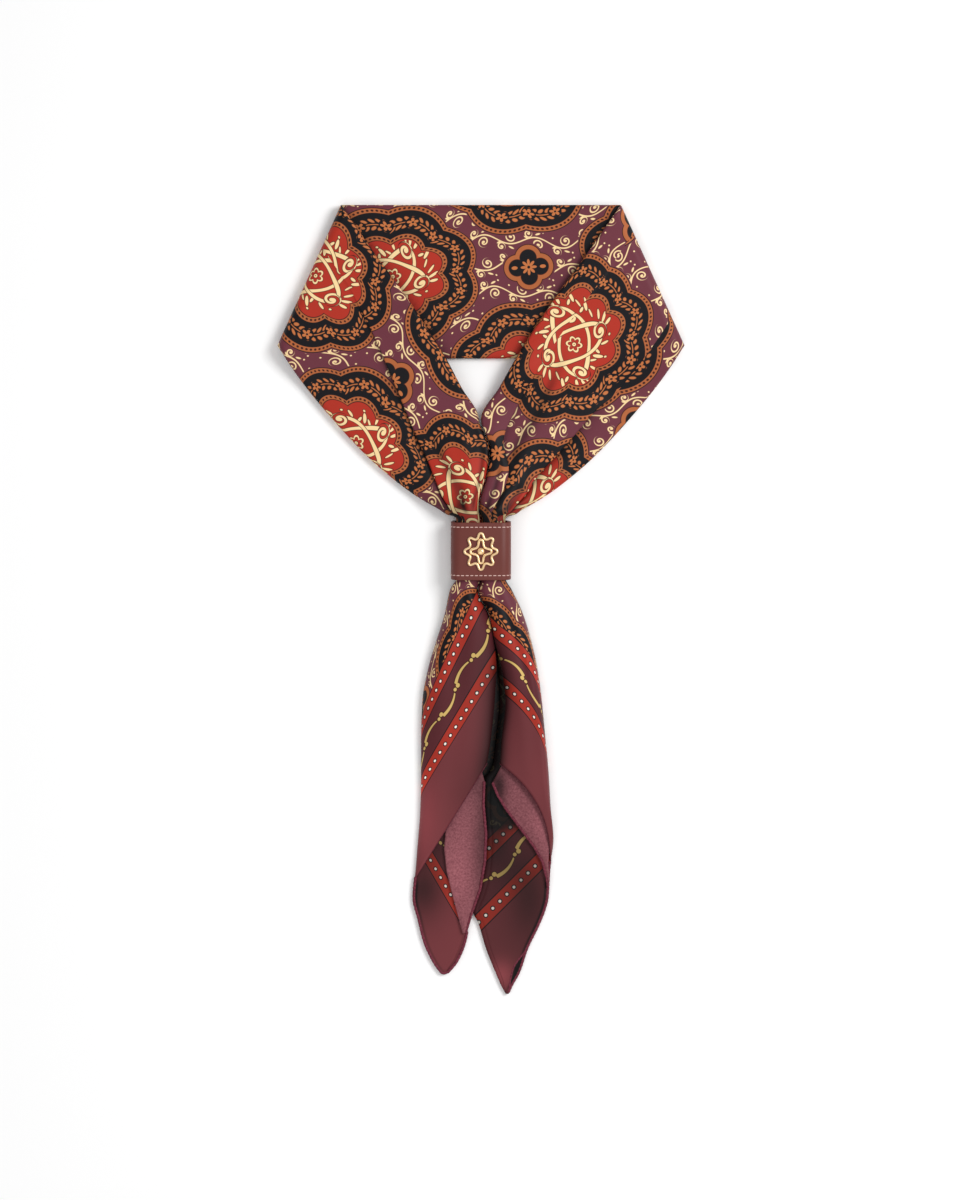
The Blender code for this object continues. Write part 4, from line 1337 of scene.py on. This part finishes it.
def buildFlap(name, rows, shadeAt):
    columns = tails["flapColumns"]
    level = tails["backThick"] + tails["gap"] + tails["frontWall"]
    grid = []
    for leftX, leftY, rightX, rightY in fineRows(rows, 6):
        line = []
        for c in range(columns + 1):
            share = c / columns
            line.append((blend(leftX, rightX, share), blend(leftY, rightY, share),
                         level + tails["crown"] * math.sin(math.pi * share)))
        grid.append(line)
    return sheetCloth(name, grid, lambda x, y: (x * mm, y * mm), tails["wall"], [paleSilk], shadeAt), grid


hemRadius = {"front": 0.42, "tip": 0.85, "flap": 0.8, "tipFold": 0.55}


def outlineHem(tail, start, end, column):
    # just inside the tail's own outline between two places down it, as a path for a hem
    count, inset, height = 30, (0.4, -0.4)[column], 1.5
    places = [blend(start, end, k / count) for k in range(count + 1)]
    return [(readRows(tail, y)[column] + inset, y, height) for y in places]


def frontHem(name, line):
    # the hem of a front layer lies low on its edge, in its own shade
    path = [(point[0], point[1], max(point[2] - 0.5, 0.8)) for point in line[1:-1]]
    return rolledHem(name, path, hemRadius["front"], 0.35)


napeBand = buildNape()
leftSidePiece = buildSide(leftSide)
rightSidePiece = buildSide(rightSide)
print("neck loop is folded")

leftFront, leftHem = buildFront("leftTailFront", -1, leftTail, leftFrontRows, leftFrontFolds,
                                tails["leftBow"])
rightFront, rightHem = buildFront("rightTailFront", 1, rightTail, rightFrontRows, rightFrontFolds,
                                  tails["rightBow"])
leftBack = buildBack("leftTailBack", -1, leftTail, rightTail, leftFrontRows, tails["leftBow"],
                     leftBackPrint, leftBackPaintedShade)
rightBack = buildBack("rightTailBack", 1, rightTail, leftTail, rightFrontRows, tails["rightBow"],
                      rightBackPrint, rightBackPaintedShade)
leftFlap, leftFlapGrid = buildFlap("leftTailFlap", leftFlapRows, shades["leftFlap"])
rightFlap, rightFlapGrid = buildFlap("rightTailFlap", rightFlapRows, shades["rightFlap"])
print("tails are laid")

leftFrontHem = frontHem("leftFrontHem", leftHem)
rightFrontHem = frontHem("rightFrontHem", rightHem)
leftTipPath = outlineHem(leftTail, -149.0, -200.7, 0) + outlineHem(leftTail, -200.8, -178.0, 1)[1:]
leftTipHem = rolledHem("leftTipHem", leftTipPath, hemRadius["tip"])
leftFlapPath = [(row[-1][0] - 0.3, row[-1][1], row[-1][2] + 0.2) for row in leftFlapGrid[6:]]
leftFlapHem = rolledHem("leftFlapHem", leftFlapPath, hemRadius["flap"])
rightTipHem = rolledHem("rightTipHem", outlineHem(rightTail, -140.5, -211.2, 1), hemRadius["tip"])
rightTipFold = rolledHem("rightTipFold", [(x, y, 1.75) for y, x in reversed(tipFold)], hemRadius["tipFold"])
rightFlapHem = rolledHem("rightFlapHem", [row[0] for row in rightFlapGrid], hemRadius["flap"])
print("hems are rolled")


# the leather ring slide

slide = {
    "low": 10.2, "high": 41.0, "width": 32.2, "height": 15.6, "wall": 2.2, "lean": 0.10,
    "cornerRound": 5.6, "rim": 0.45, "stitchInset": 2.5, "stitchPitch": 2.45, "stitchSides": 8,
    "stitch": (1.65, 0.5, 0.34), "stitchRound": 0.15, "stitchProud": 0.05,
}
ringMiddle = (slide["low"] + slide["high"]) / 2.0


def applyPlace(piece):
    selectOnly(piece)
    bpy.ops.object.transform_apply(location=True, rotation=True, scale=True)


def buildRing(material):
    bpy.ops.object.select_all(action="DESELECT")
    bpy.ops.mesh.primitive_cube_add(size=1.0, location=(0.0, ringMiddle * mm, slide["height"] / 2.0 * mm))
    piece = bpy.context.object
    piece.name = "leatherRing"
    piece.scale = (slide["width"] * mm, (slide["high"] - slide["low"]) * mm, slide["height"] * mm)
    applyPlace(piece)
    bpy.ops.object.mode_set(mode="EDIT")
    bpy.ops.mesh.select_mode(type="FACE")
    bm = bmesh.from_edit_mesh(piece.data)
    for face in bm.faces:
        face.select_set(abs(face.normal.y) > 0.9)
    bmesh.update_edit_mesh(piece.data)
    bpy.ops.mesh.delete(type="ONLY_FACE")
    bpy.ops.mesh.select_mode(type="EDGE")
    bm = bmesh.from_edit_mesh(piece.data)
    for edge in bm.edges:
        edge.select_set(abs((edge.verts[0].co - edge.verts[1].co).y) > 0.005)
    bmesh.update_edit_mesh(piece.data)
    bpy.ops.mesh.bevel(offset=slide["cornerRound"] * mm, segments=10, profile=0.5, affect="EDGES")
    # the mouths lean back, the upper face lies a little lower down the picture
    bm = bmesh.from_edit_mesh(piece.data)
    for vert in bm.verts:
        vert.co.y += slide["lean"] * (slide["height"] * mm - vert.co.z)
    bmesh.update_edit_mesh(piece.data)
    bpy.ops.object.mode_set(mode="OBJECT")
    wall = piece.modifiers.new("wall", "SOLIDIFY")
    wall.thickness = slide["wall"] * mm
    wall.offset = -1.0
    bpy.ops.object.modifier_apply(modifier=wall.name)
    rim = piece.modifiers.new("rim", "BEVEL")
    rim.width = slide["rim"] * mm
    rim.segments = 3
    rim.limit_method = "ANGLE"
    rim.angle_limit = math.radians(50.0)
    bpy.ops.object.modifier_apply(modifier=rim.name)
    piece.data.materials.append(material)
    selectOnly(piece)
    bpy.ops.object.shade_smooth_by_angle(angle=math.radians(35.0))
    return piece


def ringPlace(distance):
    # on the ring's outside, from the middle of its upper face: x, z and the turn there
    radius = slide["cornerRound"]
    flat = slide["width"] / 2.0 - radius
    side = 1.0 if distance >= 0.0 else -1.0
    distance = abs(distance)
    if distance <= flat:
        return side * distance, slide["height"], 0.0
    turn = (distance - flat) / radius
    if turn <= math.pi / 2.0:
        drop = radius * (1.0 - math.cos(turn))
        return side * (flat + radius * math.sin(turn)), slide["height"] - drop, side * turn
    down = distance - flat - radius * math.pi / 2.0
    return side * slide["width"] / 2.0, slide["height"] - radius - down, side * math.pi / 2.0


def buildStitches(material):
    bpy.ops.object.select_all(action="DESELECT")
    bpy.ops.mesh.primitive_cube_add(size=1.0)
    first = bpy.context.object
    first.name = "ringStitches"
    first.scale = [size * mm for size in slide["stitch"]]
    applyPlace(first)
    bpy.ops.object.mode_set(mode="EDIT")
    bpy.ops.mesh.select_all(action="SELECT")
    bpy.ops.mesh.bevel(offset=slide["stitchRound"] * mm, segments=2, affect="EDGES")
    bpy.ops.object.mode_set(mode="OBJECT")
    first.data.materials.append(material)
    copies = []
    for y in (slide["low"] + slide["stitchInset"], slide["high"] - slide["stitchInset"]):
        for k in range(-slide["stitchSides"], slide["stitchSides"] + 1):
            x, z, turn = ringPlace(k * slide["stitchPitch"])
            copy = first.copy()
            copy.data = first.data.copy()
            bpy.context.scene.collection.objects.link(copy)
            lean = slide["lean"] * (slide["height"] - z)
            copy.location = (x * mm, (y + lean) * mm, (z + slide["stitchProud"]) * mm)
            copy.rotation_euler = (0.0, turn, 0.0)
            copies.append(copy)
    bpy.data.objects.remove(first)
    bpy.ops.object.select_all(action="DESELECT")
    for copy in copies:
        copy.select_set(True)
    bpy.context.view_layer.objects.active = copies[0]
    bpy.ops.object.join()
    piece = bpy.context.object
    piece.name = "ringStitches"
    applyPlace(piece)
    bpy.ops.object.shade_smooth_by_angle(angle=math.radians(40.0))
    return piece


# outer and inner wire: reach in mm, lobes, share at the dips
rosette = {
    "outer": (8.7, 8, 0.72), "inner": (5.6, 4, 0.5), "wire": 0.72, "wireHigh": 0.75, "stretch": 1.12,
    "bossRadius": 2.0, "bossHigh": 1.4, "bossProud": 0.05,
}


def wireFlower(name, reachOut, lobes, dip, material):
    # a wire bent round: every other point of a circle is drawn in
    bpy.ops.object.select_all(action="DESELECT")
    bpy.ops.curve.primitive_bezier_circle_add(radius=reachOut * mm)
    piece = bpy.context.object
    piece.name = name
    bpy.ops.object.mode_set(mode="EDIT")
    bpy.ops.curve.select_all(action="SELECT")
    bpy.ops.curve.subdivide(number_cuts=lobes // 2 - 1)     # four points become two for each lobe
    bpy.ops.curve.handle_type_set(type="AUTOMATIC")
    bpy.ops.curve.select_all(action="DESELECT")
    for k, point in enumerate(piece.data.splines[0].bezier_points):
        chosen = k % 2 == 1
        point.select_control_point = chosen
        point.select_left_handle = chosen
        point.select_right_handle = chosen
    bpy.ops.transform.resize(value=(dip, dip, 1.0), center_override=(0.0, 0.0, 0.0))
    bpy.ops.curve.select_all(action="SELECT")
    bpy.ops.transform.resize(value=(1.0, rosette["stretch"], 1.0), center_override=(0.0, 0.0, 0.0))
    bpy.ops.object.mode_set(mode="OBJECT")
    piece.data.dimensions = "3D"
    piece.data.resolution_u = 10
    piece.data.bevel_depth = rosette["wire"] * mm
    piece.data.bevel_resolution = 3
    height = slide["height"] + rosette["wire"] * rosette["wireHigh"]
    piece.location = (0.0, ringMiddle * mm, height * mm)
    bpy.ops.object.convert(target="MESH")
    piece = bpy.context.object
    applyPlace(piece)
    piece.data.materials.clear()
    piece.data.materials.append(material)
    turnOut(piece)
    bpy.ops.object.shade_smooth_by_angle(angle=math.radians(60.0))
    return piece


def buildBoss(material):
    bpy.ops.object.select_all(action="DESELECT")
    bpy.ops.mesh.primitive_uv_sphere_add(segments=32, ring_count=16, radius=rosette["bossRadius"] * mm)
    piece = bpy.context.object
    piece.name = "rosetteBoss"
    bpy.ops.object.mode_set(mode="EDIT")
    bpy.ops.mesh.select_all(action="SELECT")
    bpy.ops.mesh.bisect(plane_co=(0, 0, 0), plane_no=(0, 0, 1), clear_inner=True, use_fill=True)
    bpy.ops.object.mode_set(mode="OBJECT")
    piece.scale.z = rosette["bossHigh"] / rosette["bossRadius"]
    piece.location = (0.0, ringMiddle * mm, (slide["height"] + rosette["bossProud"]) * mm)
    applyPlace(piece)
    piece.data.materials.append(material)
    bpy.ops.object.shade_smooth_by_angle(angle=math.radians(50.0))
    return piece


def leatherMaterial():
    material, shader = startMaterial("burgundyLeather", 0.46, 0.0, 0.0, 0.25)
    place = objectPlace()
    grain = noise(place, 1400.0, 4.0, 0.6)
    cloud = noise(place, 90.0, 2.0)
    colour = lay(rgb(97, 46, 40), rgb(108, 54, 47), cloud)
    feed(shader.inputs["Base Color"], colour)
    feed(shader.inputs["Normal"], bumpFrom(grain, 0.18, 0.0001))
    return material


def threadMaterial():
    material, shader = startMaterial("stitchThread", 0.6, 0.0, 0.2, 0.3)
    twist = noise(objectPlace(), 2200.0, 1.0)
    feed(shader.inputs["Base Color"], lay(rgb(190, 150, 142), rgb(222, 190, 180), twist))
    return material


def giltMaterial():
    material, shader = startMaterial("giltMetal", 0.3, 0.75)
    wear = noise(objectPlace(), 320.0, 3.0)
    feed(shader.inputs["Base Color"], lay(rgb(248, 206, 152), rgb(253, 222, 176), wear))
    feed(shader.inputs["Roughness"], add(mul(wear, 0.16), 0.22))
    return material


gilt = giltMaterial()
leatherRing = buildRing(leatherMaterial())
ringStitches = buildStitches(threadMaterial())
rosetteOutline = wireFlower("rosetteOutline", *rosette["outer"], gilt)
rosetteInner = wireFlower("rosetteInner", *rosette["inner"], gilt)
rosetteBoss = buildBoss(gilt)
print("ring is stitched")


# floor, light and camera

studio = {
    "frameTall": 643.2, "lens": 120.0, "centre": (-0.5, -0.3), "eyeLift": 0.006, "sky": 0.56,
    # name, place, size, watts
    "lamps": (("key", (0.9, 0.4, 1.15), 0.6, 13.5), ("fill", (-0.3, -0.9, 1.4), 1.4, 6.0)),
}


def buildStudio():
    bpy.ops.object.select_all(action="DESELECT")
    bpy.ops.mesh.primitive_plane_add(size=8.0, location=(0.0, 0.0, -0.0004))
    floor = bpy.context.object
    floor.name = "floor"
    material, shader = startMaterial("paleFloor", 0.9, 0.0, 0.0, 0.1)
    cloud = noise(objectPlace(), 3.0)
    feed(shader.inputs["Base Color"], lay((0.96, 0.96, 0.96, 1.0), (0.98, 0.98, 0.98, 1.0), cloud))
    floor.data.materials.append(material)
    world = bpy.data.worlds.new("studio")
    bpy.context.scene.world = world
    world.use_nodes = True
    backdrop = world.node_tree.nodes["Background"]
    backdrop.inputs["Color"].default_value = (1.0, 1.0, 1.0, 1.0)
    backdrop.inputs["Strength"].default_value = studio["sky"]
    for name, spot, size, power in studio["lamps"]:
        lamp = bpy.data.lights.new(name, "AREA")
        lamp.size = size
        lamp.energy = power
        lampObject = bpy.data.objects.new(name, lamp)
        lampObject.location = spot
        lampObject.rotation_euler = (-Vector(spot)).to_track_quat("-Z", "Y").to_euler()
        bpy.context.scene.collection.objects.link(lampObject)
    camera = bpy.data.cameras.new("camera")
    camera.lens = studio["lens"]
    camera.clip_end = 20.0
    view = bpy.data.objects.new("camera", camera)
    away = studio["frameTall"] * mm * studio["lens"] / camera.sensor_width
    view.location = (studio["centre"][0] * mm, studio["centre"][1] * mm, away + studio["eyeLift"])
    bpy.context.scene.collection.objects.link(view)
    bpy.context.scene.camera = view
    bpy.context.scene.view_settings.view_transform = "Standard"


buildStudio()


# how the pieces go with the frame

# piece, CAD node it stands for, material slot
for piece, node, slot in (
    (napeBand, "nape_stretch", "printed_silk"),
    (leftSidePiece, "left_stretch", "printed_silk"),
    (rightSidePiece, "right_stretch", "printed_silk"),
    (leftFront, "left_tail_front", "border_silk"),
    (rightFront, "right_tail_front", "border_silk"),
    (leftBack, "left_tail_back", "border_silk"),
    (rightBack, "right_tail_back", "border_silk"),
    (leftFlap, "left_tail_flap", "silk_reverse"),
    (rightFlap, "right_tail_flap", "silk_reverse"),
    (leftFrontHem, None, "border_silk"),
    (rightFrontHem, None, "border_silk"),
    (leftTipHem, None, "border_silk"),
    (rightTipHem, None, "border_silk"),
    (rightTipFold, None, "border_silk"),
    (leftFlapHem, None, "border_silk"),
    (rightFlapHem, None, "border_silk"),
    (leatherRing, "leather_ring", "leather"),
    (ringStitches, None, "leather"),
    (rosetteOutline, "rosette_outline", "gilt"),
    (rosetteInner, None, "gilt"),
    (rosetteBoss, "rosette_boss", "gilt"),
):
    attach(piece, "root")
    if node:
        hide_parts(node)

print("pieces ride on the frame")
